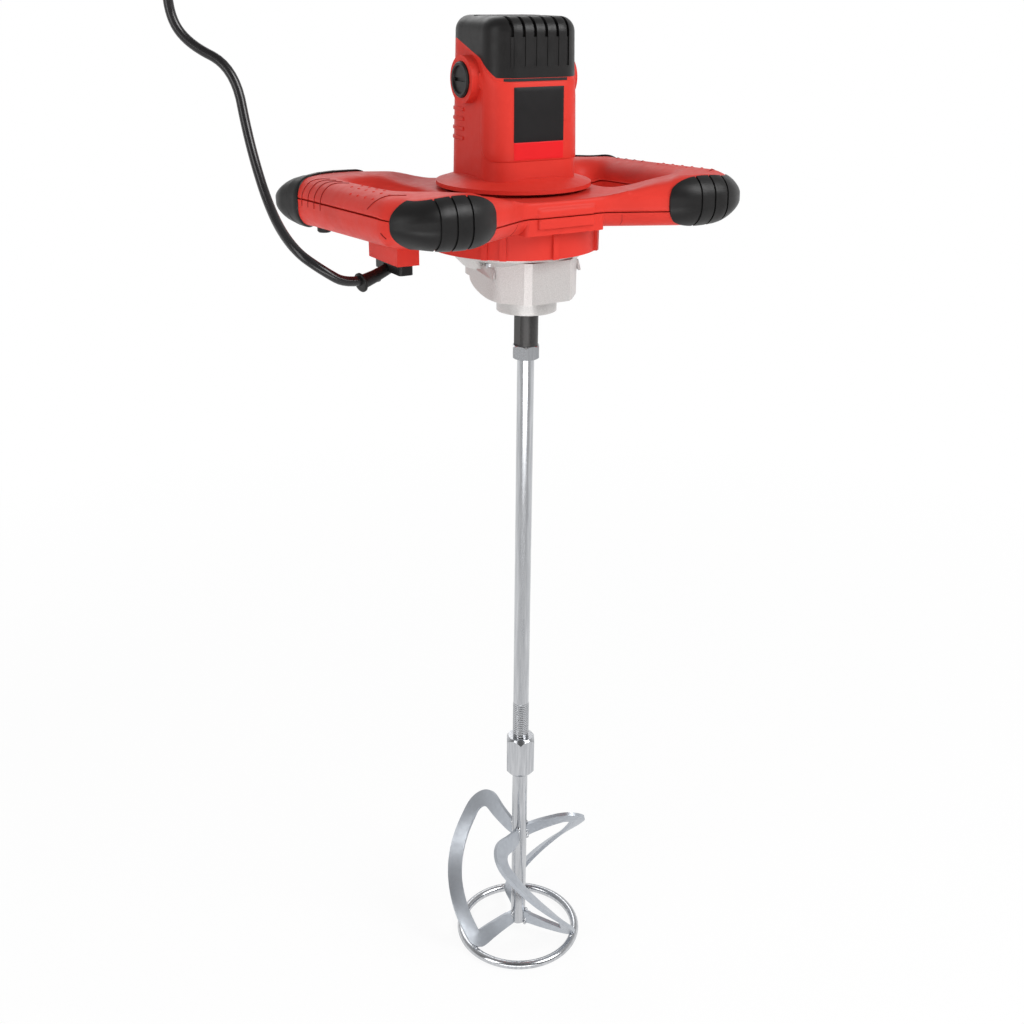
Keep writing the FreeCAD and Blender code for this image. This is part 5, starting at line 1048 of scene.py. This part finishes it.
FLOOR_HEIGHT = -0.6265
FLOOR_SIZE = 200
FLOOR_COLOUR = (0.9, 0.9, 0.9, 1)
FLOOR_ROUGHNESS = 0.9
FLOOR_GLOW = 0.9
SHADOW_NEAR = 0.7
SHADOW_FAR = 1.6
FLOOR_DIM = -0.9
FLOOR_BRIGHT = -0.15
FLOOR_LEVEL = 0.6
WHITE = (1, 1, 1, 1)
BACKDROP_WAY = (0.515, 0.857, 0)
ROOM_LEVEL = 0.28
ROOM_DIM = -0.55
ROOM_BRIGHT = 0.35
CEILING_SHARE = 0.5
CEILING_FOOT = 0.05
CEILING_TOP = 0.5
SOFT_LEVEL = 0.45
LIGHTS = {
    "key": ((1.1, -1.8, 1.5), (0, 0, 0), (1.4, 1.4), 48),
    "fill": ((-2.2, -0.5, 0.7), (0, 0, -0.1), (0.9, 2.2), 18),
    "low": ((-0.72, -1.2, -0.42), (0, 0, 0), (1.5, 0.35), 7),
    "back": ((0.4, 2.0, 1.4), (0, 0, 0), (1.6, 1.0), 11),
}


def towards_backdrop(tree, vector):
    """How far a place or a direction goes towards the backdrop."""
    node = add(tree, "ShaderNodeVectorMath", operation="DOT_PRODUCT")
    node.inputs[1].default_value = BACKDROP_WAY
    tree.links.new(vector, node.inputs[0])
    return node.outputs["Value"]


def make_floor():
    """Floor that is white to the camera, with a faint shadow near the tool, and dimmer in reflections."""
    bm = bmesh.new()
    corners = ((-1, -1), (1, -1), (1, 1), (-1, 1))
    bm.faces.new([bm.verts.new((x * FLOOR_SIZE, y * FLOOR_SIZE, FLOOR_HEIGHT)) for x, y in corners])
    mesh = from_bmesh(bm, "floor")
    floor = bpy.data.objects.new("floor", mesh)
    bpy.context.scene.collection.objects.link(floor)
    material, tree, shader = new_material("pale_floor")
    shader.inputs["Base Color"].default_value = FLOOR_COLOUR
    shader.inputs["Roughness"].default_value = FLOOR_ROUGHNESS
    path = add(tree, "ShaderNodeLightPath").outputs
    seen = combined(tree, "MAXIMUM", path["Is Camera Ray"], path["Is Glossy Ray"])
    seen_through = combined(tree, "MAXIMUM", seen, path["Is Transmission Ray"])
    where = add(tree, "ShaderNodeTexCoord")
    away = add(tree, "ShaderNodeVectorMath", operation="LENGTH")
    tree.links.new(where.outputs["Object"], away.inputs[0])
    glow = spread(tree, away.outputs["Value"], FLOOR_GLOW, 1.0, SHADOW_NEAR, SHADOW_FAR)
    share = combined(tree, "MULTIPLY", seen_through, glow)
    facing = towards_backdrop(tree, where.outputs["Object"])
    room = spread(tree, facing, FLOOR_LEVEL, 1.0, FLOOR_DIM, FLOOR_BRIGHT)
    level = combined(tree, "MAXIMUM", room, path["Is Camera Ray"])
    white = add(tree, "ShaderNodeEmission", Color=WHITE)
    tree.links.new(level, white.inputs["Strength"])
    blend = add(tree, "ShaderNodeMixShader")
    tree.links.new(share, blend.inputs[0])
    tree.links.new(shader.outputs[0], blend.inputs[1])
    tree.links.new(white.outputs[0], blend.inputs[2])
    tree.links.new(blend.outputs[0], tree.nodes["Material Output"].inputs["Surface"])
    mesh.materials.append(material)


def make_world():
    """Soft light all round; the backdrop is white and the room in front of it is dim in reflections."""
    world = bpy.data.worlds.new("studio")
    bpy.context.scene.world = world
    world.use_nodes = True
    tree = world.node_tree
    back = tree.nodes["Background"]
    back.inputs["Color"].default_value = WHITE
    path = add(tree, "ShaderNodeLightPath").outputs
    where = add(tree, "ShaderNodeTexCoord").outputs["Generated"]
    facing = towards_backdrop(tree, where)
    room = spread(tree, facing, ROOM_LEVEL, 1.0, ROOM_DIM, ROOM_BRIGHT, "SMOOTHSTEP")
    parts = add(tree, "ShaderNodeSeparateXYZ")
    tree.links.new(where, parts.inputs[0])
    fade = spread(tree, parts.outputs["Z"], 1.0, CEILING_SHARE, CEILING_FOOT, CEILING_TOP)
    level = combined(tree, "MULTIPLY", room, fade)
    reflected = combined(tree, "MAXIMUM", path["Is Glossy Ray"], path["Is Transmission Ray"])
    glossy = add(tree, "ShaderNodeMix", data_type="FLOAT")
    glossy.inputs["A"].default_value = SOFT_LEVEL
    tree.links.new(reflected, glossy.inputs["Factor"])
    tree.links.new(level, glossy.inputs["B"])
    seen = add(tree, "ShaderNodeMix", data_type="FLOAT")
    seen.inputs["B"].default_value = 1.0
    tree.links.new(path["Is Camera Ray"], seen.inputs["Factor"])
    tree.links.new(glossy.outputs["Result"], seen.inputs["A"])
    tree.links.new(seen.outputs["Result"], back.inputs["Strength"])


def make_light(name, spot, target, size, power):
    data = bpy.data.lights.new(name, "AREA")
    data.shape = "RECTANGLE"
    data.size, data.size_y = size
    data.energy = power
    light = bpy.data.objects.new(name, data)
    bpy.context.scene.collection.objects.link(light)
    spot, target = Vector(spot), Vector(target)
    light.visible_camera = False
    light.location = spot
    light.rotation_mode = "QUATERNION"
    light.rotation_quaternion = (target - spot).to_track_quat("-Z", "Y")


make_floor()
make_world()
for light_name, (light_spot, light_target, light_size, light_power) in LIGHTS.items():
    make_light(light_name, light_spot, light_target, light_size, light_power)
bpy.context.scene.view_settings.view_transform = "Standard"
